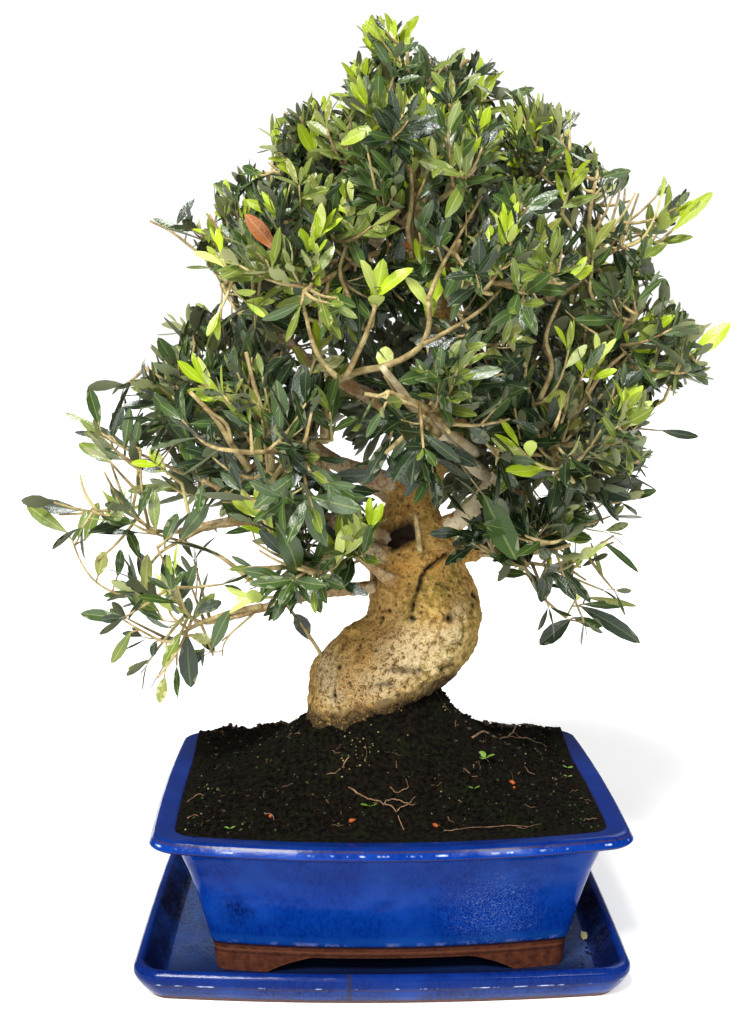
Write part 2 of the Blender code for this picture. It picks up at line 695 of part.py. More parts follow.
def fuse(name, pieces, material):
    """One body from overlapping closed pieces."""
    body = add_object(name, *pieces[0], material)
    group = bpy.data.collections.new(name + "_pieces")
    bpy.context.scene.collection.children.link(group)
    for number, (points, faces) in enumerate(pieces[1:]):
        piece = add_object(f"{name}_piece_{number}", points, faces, material)
        bpy.context.scene.collection.objects.unlink(piece)
        group.objects.link(piece)
    modifier = body.modifiers.new("fuse", "BOOLEAN")
    modifier.operation = "UNION"
    modifier.operand_type = "COLLECTION"
    modifier.collection = group
    apply_modifiers(body)
    for piece in list(group.objects):
        bpy.data.objects.remove(piece, do_unlink=True)
    bpy.data.collections.remove(group)


def build_foliage(material):
    limbs = ["trunk", *BOUGHS]
    stems = grow_stems([tree_of(limb_mesh(name, GAP / 2)) for name in limbs])
    grown_limbs = [tree_of(limb_mesh(name, LIMB_CLEARANCE)) for name in limbs]
    grown_stems = {name: tree_of(tube_mesh(stem.points, stem.radii, 3, LIMB_CLEARANCE))
                   for name, stem in stems.items()}
    for name, stem in stems.items():
        others = [tree for other, tree in grown_stems.items() if other != name]
        Mass(name, stem, grown_limbs + others).build(material)


def main():
    clear_scene()
    make_material("cutter", (1.0, 0.3, 0.1), 0.5)
    glaze = make_material("blue_glaze", (0.035, 0.085, 0.46), 0.12, coat=0.6)
    tray_glaze = make_material("tray_glaze", (0.025, 0.065, 0.40), 0.12, coat=0.6)
    earth = make_material("dark_soil", (0.025, 0.022, 0.014), 0.95)
    bark = make_material("ochre_bark", (0.46, 0.31, 0.16), 0.8)
    twig_bark = make_material("bough_bark", (0.50, 0.38, 0.24), 0.8)
    leaf_green = make_material("olive_leaf", (0.09, 0.17, 0.07), 0.42)
    build_tray(tray_glaze)
    build_pot(glaze)
    build_soil(earth)
    add_object("trunk", *trunk_mesh(), bark, smooth=True)
    build_boughs(twig_bark)
    build_foliage(leaf_green)


main()
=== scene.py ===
"""The looks of a potted olive bonsai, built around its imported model.

Lengths are metres in the model's own frame: +Z is up, the front faces -Y, and the origin is under the tray.
"""

import math
import random

import bpy
import numpy as np
from mathutils import Matrix, Vector, noise
from mathutils.bvhtree import BVHTree


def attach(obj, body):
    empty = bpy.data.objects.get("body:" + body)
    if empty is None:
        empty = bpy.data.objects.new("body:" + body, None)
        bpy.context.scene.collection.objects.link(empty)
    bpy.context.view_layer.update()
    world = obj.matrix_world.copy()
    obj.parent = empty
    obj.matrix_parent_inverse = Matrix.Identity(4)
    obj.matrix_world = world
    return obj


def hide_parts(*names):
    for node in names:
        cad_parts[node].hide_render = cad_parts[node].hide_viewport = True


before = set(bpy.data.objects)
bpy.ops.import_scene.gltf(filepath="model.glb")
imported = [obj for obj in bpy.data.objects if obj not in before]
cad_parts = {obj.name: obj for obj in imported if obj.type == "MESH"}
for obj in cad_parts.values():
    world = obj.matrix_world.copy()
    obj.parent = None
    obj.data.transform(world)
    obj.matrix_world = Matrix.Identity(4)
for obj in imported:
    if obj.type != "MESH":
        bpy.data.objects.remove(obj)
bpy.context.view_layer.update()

# Camera: where it stands, how it is turned, its lens in millimetres and the nearest thing that it shows
CAMERA_PLACE = (-0.0266, -1.1002, 0.5025)
CAMERA_YAW = math.radians(1.2401)
CAMERA_DOWN = math.radians(8.0416)
CAMERA_ROLL = math.radians(0.2472)
CAMERA_LENS = 48.33
CLIP_START = 0.01

# The photograph's frame in pixels, and the sensor's size in millimetres along the frame's longer side
FRAME = (755, 1024)
SENSOR = 36.0

# Clearance that the solids keep to each other
GAP = 0.0003

# Outlines of the pot and tray: steps round a corner and along a side, and the short sides' share of the bow
CORNER_STEPS = 10
LONG_STEPS = 64
SHORT_STEPS = 46
SIDE_BOW = 0.15

# Drip tray
TRAY_HALF = (0.1865, 0.1446)
TRAY_RIDGE = 0.0160
TRAY_TOP = 0.0262
TRAY_FLOOR = 0.0065
TRAY_BOW = 0.0108
TRAY_CORNER = 0.020
TRAY_PROFILE = (
    (0.0120, 0.0), (0.0100, 0.0025), (0.0058, 0.0080), (0.0030, 0.0125), (0.0012, TRAY_RIDGE),
    (0.0000, 0.0195), (0.0004, 0.0230), (0.0024, 0.0254), (0.0045, TRAY_TOP), (0.0066, 0.0256),
    (0.0082, 0.0236), (0.0190, 0.0092), (0.0225, TRAY_FLOOR),
)

# Pot: the rim is the widest outline, and every other outline is set in from it
POT_PLACE = (0.0052, -0.0031)
POT_TURN = math.radians(0.94)
RIM_HALF = (0.180, 0.1344)
RIM_TOP = 0.1250
RIM_BOW = 0.0238
RIM_CORNER = 0.017
SIDE_SHARE = 0.84
FOOT_BOTTOM = TRAY_FLOOR + GAP
GLAZE_LINE = 0.0300
POT_UNDERSIDE = 0.0210
POT_FLOOR = 0.0270
FOOT_WALL = 0.013
ARCH_FRONT = 0.0950
ARCH_SIDE = 0.056
ARCH_RAMP = 0.033
ARCH_STEP = (0.0140, 0.0142)
ARCH_TOP = 0.0205
POT_OUTSIDE = (
    (0.0460, FOOT_BOTTOM), (0.0450, 0.0160), (0.0435, GLAZE_LINE - 0.0010), (0.0418, GLAZE_LINE + 0.0010),
    (0.0375, 0.0500), (0.0325, 0.0700), (0.0270, 0.0890), (0.0215, 0.1040), (0.0180, 0.1115),
    (0.0040, 0.1145), (0.0012, 0.1160), (0.0000, 0.1178), (0.0012, 0.1200), (0.0035, 0.1240),
    (0.0060, RIM_TOP),
)
POT_INSIDE = ((0.0179, 0.1238), (0.0205, 0.1170), (0.0300, 0.0900), (0.0430, 0.0500), (0.0530, POT_FLOOR))

# Soil
SOIL_EDGE = 0.1225
SOIL_OVERLAP = 0.0012
SOIL_GRID = 0.0014
MOUND_TOP = (-0.002, 0.014)
MOUND_HEIGHT = 0.070
MOUND_REACH = (0.100, 0.085)

# The bank of soil along the pot's back wall: its height, its distance from the wall and its reach both ways
BANK_HEIGHT = 0.0120
BANK_PLACE = 0.0110
BANK_REACH = (0.0075, 0.0300)

# The heap of soil at the trunk's right: its height and its reach
HEAP_HEIGHT = 0.0225
HEAP_REACH = 0.36

# The trunk's foot in the pot's own frame: its middle and the half sizes of the ring that the heap follows
FOOT_MIDDLE = (-0.015, 0.015)
FOOT_HALF = (0.050, 0.046)

# Trunk: height, middle across, middle in depth, half width, half depth, lean of the section
GROUND = 0.1500
TRUNK = (
    (GROUND, -0.0100, 0.012, 0.0500, 0.0460, 0),
    (0.1900, -0.0085, 0.010, 0.0500, 0.0450, 0),
    (0.2030, -0.0010, 0.010, 0.0570, 0.0480, 0),
    (0.2200, 0.0085, 0.010, 0.0625, 0.0500, 0),
    (0.2350, 0.0170, 0.010, 0.0610, 0.0490, 0),
    (0.2490, 0.0285, 0.009, 0.0535, 0.0460, 0),
    (0.2600, 0.0370, 0.008, 0.0470, 0.0430, 0),
    (0.2750, 0.0365, 0.008, 0.0450, 0.0420, 0),
    (0.2910, 0.0320, 0.009, 0.0422, 0.0390, 0),
    (0.3050, 0.0285, 0.010, 0.0375, 0.0360, 0),
    (0.3200, 0.0300, 0.012, 0.0355, 0.0330, 0),
    (0.3320, 0.0290, 0.014, 0.0300, 0.0280, 0),
    (0.3470, 0.0260, 0.015, 0.0225, 0.0220, 3),
    (0.3650, 0.0270, 0.014, 0.0195, 0.0190, 10),
    (0.4010, 0.0430, 0.012, 0.0185, 0.0180, 27),
    (0.4420, 0.0650, 0.010, 0.0165, 0.0160, 20),
    (0.4560, 0.0690, 0.010, 0.0140, 0.0140, 4),
)
TRUNK_SIDES = 18
TRUNK_STEPS = 19

# Boughs: the limb that carries each, its size at both ends, and the points that it runs through
BOUGHS = {
    "leader": ("trunk", 0.0115, 0.0065, (
        (0.0690, 0.010, 0.448), (0.060, 0.010, 0.480), (0.044, 0.009, 0.512), (0.028, 0.008, 0.556),
        (0.023, 0.006, 0.590), (0.023, 0.005, 0.612))),
    "bough_upper_left": ("leader", 0.0065, 0.0050, (
        (0.033, 0.008, 0.540), (0.000, 0.012, 0.560), (-0.028, 0.008, 0.574))),
    "bough_upper_right": ("leader", 0.0065, 0.0048, (
        (0.027, 0.007, 0.560), (0.056, 0.014, 0.572), (0.082, 0.012, 0.586))),
    "bough_front": ("leader", 0.0070, 0.0052, (
        (0.046, 0.009, 0.508), (0.040, -0.034, 0.524), (0.026, -0.068, 0.542))),
    "bough_shoulder_right": ("leader", 0.0070, 0.0050, (
        (0.058, 0.010, 0.484), (0.098, 0.002, 0.502), (0.138, -0.004, 0.520))),
    "bough_shoulder_left": ("trunk", 0.0080, 0.0050, (
        (0.046, 0.012, 0.408), (-0.010, 0.008, 0.440), (-0.056, 0.004, 0.466), (-0.082, 0.000, 0.496))),
    "bough_left": ("trunk", 0.0095, 0.0055, (
        (0.027, 0.014, 0.362), (-0.036, 0.004, 0.386), (-0.090, -0.006, 0.404), (-0.110, -0.008, 0.418))),
    "bough_low_left": ("trunk", 0.0105, 0.0050, (
        (0.016, 0.010, 0.318), (-0.046, -0.016, 0.342), (-0.096, -0.026, 0.346), (-0.160, -0.018, 0.334))),
    "bough_lowest_left": ("trunk", 0.0062, 0.0040, (
        (0.012, 0.004, 0.286), (-0.046, -0.016, 0.284), (-0.096, -0.026, 0.273), (-0.128, -0.028, 0.264))),
    "bough_near_left": ("trunk", 0.0095, 0.0055, (
        (0.012, -0.004, 0.308), (-0.027, -0.036, 0.330), (-0.036, -0.056, 0.366), (-0.048, -0.068, 0.396))),
    "bough_low_front": ("trunk", 0.0075, 0.0048, (
        (0.024, -0.004, 0.288), (0.004, -0.038, 0.300), (-0.014, -0.052, 0.316))),
    "bough_right": ("trunk", 0.0085, 0.0050, (
        (0.064, 0.010, 0.438), (0.106, 0.010, 0.444), (0.142, 0.004, 0.456))),
    "bough_low_right": ("trunk", 0.0100, 0.0055, (
        (0.040, 0.010, 0.322), (0.074, -0.010, 0.352), (0.088, -0.026, 0.378), (0.112, -0.032, 0.386))),
    "bough_pale_front": ("bough_low_right", 0.0062, 0.0048, (
        (0.086, -0.024, 0.376), (0.058, -0.060, 0.400), (0.038, -0.088, 0.420))),
    "bough_hanging_right": ("trunk", 0.0075, 0.0048, (
        (0.048, 0.010, 0.306), (0.084, 0.004, 0.314), (0.108, -0.002, 0.308))),
    "bough_back": ("trunk", 0.0085, 0.0052, (
        (0.040, 0.012, 0.396), (0.034, 0.058, 0.412), (0.028, 0.102, 0.432))),
    "bough_back_right": ("trunk", 0.0085, 0.0052, (
        (0.058, 0.010, 0.428), (0.086, 0.046, 0.426), (0.106, 0.072, 0.428))),
    "bough_back_left": ("trunk", 0.0085, 0.0052, (
        (0.026, 0.016, 0.346), (-0.022, 0.052, 0.374), (-0.062, 0.074, 0.400))),
}
BOUGH_SIDES = 6
BOUGH_STEPS = 2

# Masses of foliage: the bough whose tip carries each, its middle and its half sizes
MASSES = {
    "foliage_apex": ("leader", (0.018, 0.000, 0.669), (0.082, 0.070, 0.060)),
    "foliage_upper_back": ("leader", (0.034, 0.110, 0.618), (0.080, 0.066, 0.062)),
    "foliage_upper_left": ("bough_upper_left", (-0.054, 0.010, 0.612), (0.068, 0.064, 0.056)),
    "foliage_shoulder_left": ("bough_shoulder_left", (-0.106, -0.012, 0.548), (0.064, 0.066, 0.056)),
    "foliage_upper_right": ("bough_upper_right", (0.113, 0.012, 0.623), (0.068, 0.066, 0.058)),
    "foliage_upper_front": ("bough_front", (0.022, -0.104, 0.606), (0.070, 0.062, 0.056)),
    "foliage_front_left": ("bough_front", (-0.060, -0.116, 0.532), (0.068, 0.060, 0.058)),
    "foliage_front_right": ("bough_front", (0.066, -0.126, 0.526), (0.068, 0.060, 0.056)),
    "foliage_far_right": ("bough_shoulder_right", (0.178, 0.000, 0.578), (0.064, 0.062, 0.058)),
    "foliage_side_right": ("bough_right", (0.200, -0.008, 0.486), (0.072, 0.066, 0.054)),
    "foliage_side_left": ("bough_left", (-0.146, 0.002, 0.438), (0.068, 0.062, 0.058)),
    "foliage_far_left": ("bough_low_left", (-0.220, -0.010, 0.360), (0.064, 0.062, 0.066)),
    "foliage_bottom_left": ("bough_lowest_left", (-0.164, -0.030, 0.270), (0.058, 0.056, 0.076)),
    "foliage_low_front_left": ("bough_near_left", (-0.078, -0.118, 0.408), (0.068, 0.062, 0.058)),
    "foliage_skirt_left": ("bough_low_front", (-0.058, -0.076, 0.322), (0.062, 0.054, 0.044)),
    "foliage_front_centre": ("bough_pale_front", (0.028, -0.148, 0.440), (0.060, 0.058, 0.058)),
    "foliage_low_front_right": ("bough_low_right", (0.122, -0.098, 0.420), (0.066, 0.062, 0.056)),
    "foliage_low_right": ("bough_low_right", (0.172, 0.000, 0.392), (0.060, 0.062, 0.056)),
    "foliage_skirt_right": ("bough_hanging_right", (0.108, -0.052, 0.334), (0.054, 0.050, 0.046)),
    "foliage_hanging_right": ("bough_hanging_right", (0.164, 0.012, 0.300), (0.060, 0.058, 0.058)),
    "foliage_back_left": ("bough_back_left", (-0.096, 0.118, 0.500), (0.078, 0.070, 0.072)),
    "foliage_back_low_left": ("bough_back_left", (-0.112, 0.100, 0.378), (0.076, 0.070, 0.066)),
    "foliage_back_centre": ("bough_back", (0.018, 0.160, 0.450), (0.078, 0.062, 0.080)),
    "foliage_back_right": ("bough_back_right", (0.140, 0.118, 0.508), (0.078, 0.070, 0.070)),
    "foliage_back_low_right": ("bough_back_right", (0.132, 0.104, 0.378), (0.074, 0.070, 0.064)),
}
CELL_MARGIN = 0.0006
LIMB_CLEARANCE = 0.0006

# Twigs and sprays of one mass, as the source deals them out: a spray here takes one source leaf's place
STEM_RADIUS = (0.0024, 0.0022)
TWIG_RADIUS = (0.0011, 0.0010)
TWIGS = 5
TWIG_REACH = (0.35, 0.78)
TWIG_PLACES = (0.62, 0.70, 0.78, 0.86, 0.94)
SPRAYS = 22
SPRAY_LENGTH = (0.060, 0.080)
SPRAY_WIDTH = 0.37
SPRAY_THICKNESS = 0.0024
SPRAY_WIDEST = 0.44
OUTER_REACH = 1.20
ROOT_SINK = 0.40
TIP_SINK = 0.0009
TIP_SHARE = 0.25
STEM_SPRAYS_FROM = 0.15
TWIG_SPRAYS_FROM = 0.30
SPRAY_LEAN = (30, 100)
CANDIDATES = 60
MOST_MISSES = 25

# The finer wood that the stems, twigs, shoots, side shoots and single leaves get: the radius at both ends,
# and for the shoots that stand out also where they leave their foot. Then the steps of a twig's path.
STEM_WOOD = (0.0032, 0.0020)
TWIG_WOOD = (0.0023, 0.0014)
SHOOT_WOOD = (0.0016, 0.0008)
SIDE_WOOD = (0.0010, 0.0006)
LONE_WOOD = (0.0009, 0.0006)
FRONT_WOOD = (0.0016, 0.0015, 0.0008)
TWIG_STEPS = 8

# The crown's top, and how far the painted shade of its inside, in its darkest leaves, reaches around its
# middle
CROWN_TOP = 0.738
CROWN_MIDDLE = (0.010, 0.010, 0.470)
CROWN_HALF = (0.235, 0.190, 0.240)

# Leaves: the steps between pairs along a shoot, the share that is missing, the length, the width for the
# length, and how near a limb they come
FIRST_NODE = 0.0090
NODE_STEP = (0.0090, 0.0128)
PAIR_STEP = 0.0085
MISSING_LEAVES = 0.20
LEAF_LENGTH = (0.028, 0.040)
LEAF_WIDTH = (0.24, 0.34)
LEAF_CLEARANCE = 0.0030

# How a leaf stands: degrees from its shoot, how much less on young growth, towards the tip and past it, and
# the spread. Then its size at a shoot's ends and how much larger it is in the middle.
LEAN = 62
LEAN_YOUNG = 14
LEAN_ALONG = 24
LEAN_PAST = 30
LEAN_SPREAD = 10
END_SIZE = 0.80
MIDDLE_SIZE = 0.30

# How a leaf bends: the range of its fold, and the middle and spread of its curl, twist and sway
FOLD = (0.12, 0.40)
CURL = (0.15, 0.25)
TWIST = (0, 0.30)
SWAY = (0, 0.07)

# Leaves at a shoot's tip, past its end: how far past and how large. The last one is there with a chance.
END_PAIR = (1.25, 0.92)
END_LEAF = (1.7, 0.6)
END_LEAF_CHANCE = 0.6

# The chance of a paler leaf at a tip, and of a leaf of its shoot's own kind
PALER_CHANCE = 0.30
OWN_CHANCE = 0.82

# Where leaves begin to get smaller upwards, over which height, and by how much in all
SMALLER_FROM = 0.42
SMALLER_OVER = 0.22
SMALLER = 0.26

# Shoots: the share with side shoots, how far along those start, how long they and large their leaves are, how
# far leaves reach past the tip, which shares of the length are tried, the least length, and how much they
# turn up
SIDE_SHOOTS = 0.45
SIDE_UNTIL = 0.75
SIDE_LENGTH = (0.014, 0.028)
SIDE_LEAF = 0.85
TIP_LEAF_REACH = 0.018
LENGTHS_TRIED = (1.0, 0.8, 0.6, 0.4)
LEAST_LENGTH = 0.010
UPTURN = 0.34
YOUNG_UPTURN = 0.75
YOUNG_KINDS = ("young", "spring", "fresh")

# The draw below which a shoot is of each kind. It is lowered high up and in front, for more spring growth,
# and scaled down in the crown's lower part, for more deep and dark leaves, as painted shade there.
SHOOT_KINDS = (("spring", 0.0), ("deep", 0.26), ("dark", 0.56), ("mid", 0.80), ("olive", 1.0))
INNER_SHADE = 1.9
BRIGHT = 0.06
BRIGHT_TOP = 0.25
BRIGHT_FROM = 0.42
BRIGHT_OVER = 0.25
BRIGHT_FRONT = 0.03
FRONT_DEPTH = -0.08
LOW_HEIGHT = 0.40
LOW_SHARE = 0.72
LOW_LEFT_PLACE = -0.10
LOW_LEFT_SHARE = 0.50
YOUNG_SHARE = 0.5

# Further shoots of each mass: how many, how many times that near the top, how far out their tips reach, and
# between which depths they lie
FURTHER_SHOOTS = 21
FURTHER_AT_TOP = 1.35
FURTHER_REACH = (0.72, 1.30)
DEPTH_REACH = (-0.195, 0.215)

# How full a mass is, and how much its shoots turn up, where it differs from the others
FULLNESS = {
    "foliage_far_left": 0.30, "foliage_bottom_left": 0.28, "foliage_hanging_right": 0.16,
    "foliage_skirt_left": 0.80, "foliage_far_right": 0.80, "foliage_side_left": 0.80,
}
UPTURNS = {
    "foliage_bottom_left": 0.02, "foliage_hanging_right": 0.05, "foliage_skirt_left": 0.12,
    "foliage_skirt_right": 0.12, "foliage_far_left": 0.12, "foliage_apex": 0.50, "foliage_upper_left": 0.42,
    "foliage_upper_right": 0.42, "foliage_upper_front": 0.42,
}

# The crown's edge from the front, in pixels of the frame
EDGE = (
    (356, 40), (368, 12), (405, 18), (428, 45), (440, 60), (456, 50), (466, 34), (500, 60), (514, 84),
    (535, 88), (556, 100), (585, 112), (592, 140), (604, 150), (650, 172), (714, 184), (694, 208),
    (674, 232), (657, 252), (670, 284), (690, 312), (732, 320), (733, 338), (708, 354), (718, 382),
    (690, 394), (668, 402), (642, 428), (656, 446), (650, 470), (664, 498), (650, 530), (612, 572),
    (645, 602), (645, 640), (577, 650), (536, 650), (543, 600), (498, 577), (470, 562), (440, 566),
    (415, 548), (385, 556), (370, 598), (340, 612), (300, 614), (262, 628), (216, 655), (198, 692),
    (158, 706), (106, 668), (78, 624), (62, 562), (16, 504), (64, 445), (56, 408), (82, 384), (130, 380),
    (150, 318), (200, 300), (196, 262), (184, 240), (148, 218), (190, 190), (216, 178), (246, 152),
    (270, 140), (266, 116), (285, 104), (312, 90), (340, 82), (350, 62),
)

# Openings of the crown from the front, as discs in pixels of the frame: the middle and the radius
SKY = (
    (250, 130, 14), (262, 162, 8), (183, 277, 24), (208, 286, 13), (222, 303, 13), (163, 262, 12),
    (175, 205, 10), (203, 214, 12), (35, 463, 27), (75, 486, 24), (113, 478, 17), (35, 542, 12),
    (250, 545, 14), (268, 556, 12), (335, 609, 10), (357, 605, 8), (492, 598, 17), (517, 599, 12),
    (624, 566, 16), (538, 487, 9), (680, 468, 20), (628, 150, 16), (636, 188, 13), (617, 208, 13),
    (646, 214, 12), (684, 280, 12), (549, 86, 10), (578, 134, 9), (446, 44, 12), (222, 540, 8),
    (205, 562, 8), (600, 580, 9), (555, 600, 8), (240, 640, 14), (478, 556, 12), (404, 446, 4),
    (500, 344, 4), (510, 420, 5), (640, 245, 9), (654, 300, 7), (606, 262, 5),
)

# Places where nothing grows in front of a limb, in pixels: the middle, the radius and the limb's depth
CLEARINGS = (
    (488, 468, 8, -0.030), (474, 452, 9, -0.045), (458, 440, 8, -0.060), (442, 428, 8, -0.075),
    (480, 486, 9, -0.020), (472, 506, 9, -0.012), (462, 524, 9, -0.010), (450, 543, 9, -0.010),
    (384, 545, 14, -0.010), (372, 570, 10, -0.010), (255, 225, 9, -0.122), (267, 239, 9, -0.122),
)

# Shoots that stand out: the foot, the end of the twig, the depth, the kind, the leaf's length and the pairs
SHOOTS = (
    ((413, 256), (411, 166), -0.100, "young", 0.030, 3),
    ((458, 238), (484, 190), -0.090, "fresh", 0.019, 4),
    ((332, 300), (349, 236), -0.100, "olive", 0.028, 3),
    ((372, 326), (376, 300), -0.130, "young", 0.040, 2),
    ((322, 330), (316, 286), -0.120, "young", 0.028, 3),
    ((306, 318), (300, 284), -0.115, "young", 0.024, 2),
    ((428, 348), (430, 310), -0.120, "young", 0.036, 2),
    ((330, 240), (329, 224), -0.085, "fresh", 0.028, 3),
    ((386, 76), (376, 48), 0.000, "spring", 0.030, 2),
    ((404, 82), (400, 52), 0.000, "spring", 0.032, 3),
    ((372, 116), (362, 88), -0.010, "spring", 0.028, 3),
    ((470, 126), (480, 96), 0.000, "spring", 0.032, 4),
    ((410, 152), (402, 120), -0.060, "young", 0.032, 3),
    ((320, 190), (314, 158), -0.030, "spring", 0.036, 3),
    ((296, 168), (279, 142), 0.000, "spring", 0.021, 3),
    ((242, 228), (229, 202), 0.000, "young", 0.020, 3),
    ((228, 264), (214, 242), 0.000, "spring", 0.021, 2),
    ((256, 308), (247, 282), -0.060, "young", 0.022, 3),
    ((230, 414), (206, 385), -0.060, "young", 0.030, 3),
    ((250, 410), (244, 380), -0.070, "spring", 0.024, 2),
    ((182, 484), (159, 466), -0.030, "young", 0.022, 2),
    ((286, 597), (256, 598), -0.070, "fresh", 0.027, 2),
    ((520, 162), (534, 132), -0.020, "spring", 0.027, 3),
    ((562, 214), (571, 182), -0.040, "spring", 0.025, 3),
    ((640, 258), (664, 224), 0.000, "spring", 0.036, 3),
    ((612, 300), (640, 262), -0.010, "dark", 0.030, 4),
    ((622, 364), (645, 334), -0.030, "young", 0.028, 3),
    ((586, 392), (598, 360), -0.060, "young", 0.023, 3),
    ((590, 290), (594, 250), -0.040, "mid", 0.028, 3),
    ((664, 400), (676, 372), 0.000, "spring", 0.026, 2),
    ((560, 450), (572, 410), -0.080, "olive", 0.028, 3),
    ((520, 300), (536, 250), -0.060, "mid", 0.030, 3),
    ((300, 400), (318, 352), -0.110, "olive", 0.028, 3),
    ((268, 470), (262, 420), -0.110, "mid", 0.030, 3),
    ((190, 420), (172, 396), -0.020, "mid", 0.026, 3),
    ((500, 330), (494, 300), -0.110, "mid", 0.030, 3),
    ((332, 440), (330, 412), -0.110, "dark", 0.032, 3),
    ((296, 470), (290, 440), -0.110, "dark", 0.032, 3),
)

# Single leaves that stand out: the root and the tip in pixels, the depth, width for length, and the kind
LONE_LEAVES = (
    ((482, 492), (514, 562), -0.100, 0.38, "dark"), ((275, 522), (312, 577), -0.120, 0.42, "dark"),
    ((187, 633), (188, 688), -0.030, 0.36, "dark"), ((628, 383), (690, 352), -0.010, 0.26, "spring"),
    ((690, 358), (731, 324), 0.000, 0.36, "young"), ((68, 533), (20, 504), -0.010, 0.27, "mid"),
    ((672, 232), (713, 188), -0.014, 0.22, "spring"), ((548, 142), (584, 114), -0.010, 0.16, "dark"),
    ((278, 253), (246, 213), -0.128, 0.34, "dead"), ((412, 250), (400, 237), -0.115, 0.55, "dead"),
    ((470, 68), (467, 37), 0.000, 0.45, "white"), ((660, 430), (699, 440), -0.010, 0.24, "dark"),
    ((455, 456), (455, 432), -0.075, 0.85, "fresh"), ((384, 370), (385, 346), -0.120, 0.75, "fresh"),
    ((572, 618), (538, 645), 0.000, 0.40, "dark"), ((572, 617), (603, 629), 0.000, 0.32, "dark"),
    ((578, 605), (643, 637), 0.000, 0.22, "dark"), ((580, 604), (636, 608), 0.000, 0.18, "dark"),
    ((583, 597), (639, 604), 0.005, 0.12, "olive"), ((570, 593), (566, 542), 0.005, 0.26, "dark"),
    ((550, 577), (550, 545), -0.030, 0.24, "young"), ((576, 568), (583, 553), -0.010, 0.45, "spring"),
    ((575, 602), (578, 582), -0.005, 0.80, "fresh"), ((528, 574), (498, 573), 0.000, 0.36, "dark"),
    ((524, 568), (541, 590), 0.000, 0.32, "dark"), ((600, 540), (643, 569), 0.000, 0.14, "dark"),
    ((590, 540), (604, 581), 0.000, 0.12, "mid"), ((78, 541), (84, 509), -0.010, 0.22, "mid"),
    ((84, 542), (99, 502), -0.010, 0.30, "mid"), ((142, 521), (104, 494), -0.020, 0.28, "dark"),
    ((142, 533), (86, 530), -0.020, 0.13, "dark"), ((98, 577), (104, 551), -0.020, 0.50, "olive"),
    ((117, 578), (124, 549), -0.020, 0.32, "dark"), ((142, 595), (100, 592), -0.020, 0.20, "dark"),
    ((121, 618), (81, 613), -0.030, 0.34, "dark"), ((166, 622), (124, 599), -0.030, 0.24, "dark"),
    ((144, 593), (150, 554), -0.030, 0.32, "olive"), ((170, 608), (167, 554), -0.030, 0.26, "dark"),
    ((132, 630), (111, 666), -0.030, 0.26, "mid"), ((182, 632), (161, 667), -0.040, 0.28, "mid"),
    ((195, 632), (216, 651), -0.030, 0.44, "dark"), ((165, 676), (160, 703), -0.030, 0.46, "olive"),
    ((157, 640), (150, 656), -0.030, 0.50, "dark"), ((196, 613), (220, 599), -0.030, 0.46, "dark"),
    ((206, 530), (226, 521), -0.030, 0.50, "olive"), ((100, 427), (88, 387), -0.010, 0.32, "dark"),
    ((112, 440), (118, 404), -0.010, 0.32, "dark"), ((124, 446), (132, 408), -0.020, 0.30, "dark"),
    ((104, 436), (74, 432), -0.010, 0.20, "dark"), ((122, 456), (90, 452), -0.010, 0.32, "dark"),
    ((104, 430), (62, 411), -0.010, 0.12, "mid"), ((308, 640), (300, 612), 0.000, 0.55, "dark"),
    ((190, 232), (150, 220), 0.000, 0.18, "dark"), ((176, 226), (190, 196), 0.000, 0.28, "dark"),
    ((214, 268), (184, 266), 0.000, 0.12, "mid"), ((600, 178), (630, 168), -0.020, 0.30, "dark"),
    ((560, 208), (598, 198), -0.040, 0.22, "mid"), ((632, 246), (620, 198), 0.000, 0.20, "dark"),
    ((206, 479), (239, 454), -0.050, 0.34, "dark"), ((204, 482), (196, 512), -0.045, 0.40, "dark"),
    ((241, 479), (279, 475), -0.050, 0.34, "dark"), ((283, 479), (293, 448), -0.070, 0.42, "dark"),
    ((252, 514), (281, 495), -0.040, 0.32, "mid"), ((214, 533), (237, 525), -0.030, 0.40, "dark"),
    ((252, 541), (275, 541), -0.030, 0.36, "olive"), ((164, 545), (176, 513), -0.030, 0.40, "dark"),
    ((148, 590), (143, 552), -0.020, 0.34, "dark"), ((187, 621), (187, 597), -0.030, 0.50, "dark"),
    ((192, 621), (211, 591), -0.030, 0.34, "mid"), ((202, 618), (226, 611), -0.030, 0.28, "mid"),
    ((168, 471), (134, 464), -0.020, 0.40, "dark"), ((175, 487), (126, 491), -0.020, 0.22, "mid"),
    ((175, 423), (154, 393), -0.030, 0.42, "dark"), ((178, 440), (188, 402), -0.030, 0.38, "dark"),
    ((133, 447), (142, 422), -0.020, 0.36, "dark"), ((196, 470), (180, 440), -0.040, 0.34, "mid"),
    ((180, 541), (205, 500), -0.040, 0.34, "dark"), ((156, 532), (150, 490), -0.030, 0.30, "mid"),
    ((140, 560), (128, 528), -0.020, 0.34, "dark"), ((172, 560), (190, 590), -0.030, 0.34, "dark"),
    ((178, 604), (196, 566), -0.030, 0.30, "dark"), ((160, 612), (132, 596), -0.030, 0.40, "mid"),
    ((220, 500), (244, 520), -0.050, 0.36, "dark"), ((228, 494), (206, 470), -0.050, 0.34, "dark"),
    ((232, 522), (256, 506), -0.040, 0.36, "mid"), ((190, 636), (212, 640), -0.040, 0.50, "olive"),
    ((498, 100), (535, 88), 0.000, 0.24, "dark"), ((506, 118), (500, 96), 0.000, 0.34, "mid"),
    ((512, 128), (522, 104), 0.000, 0.30, "dark"),
)

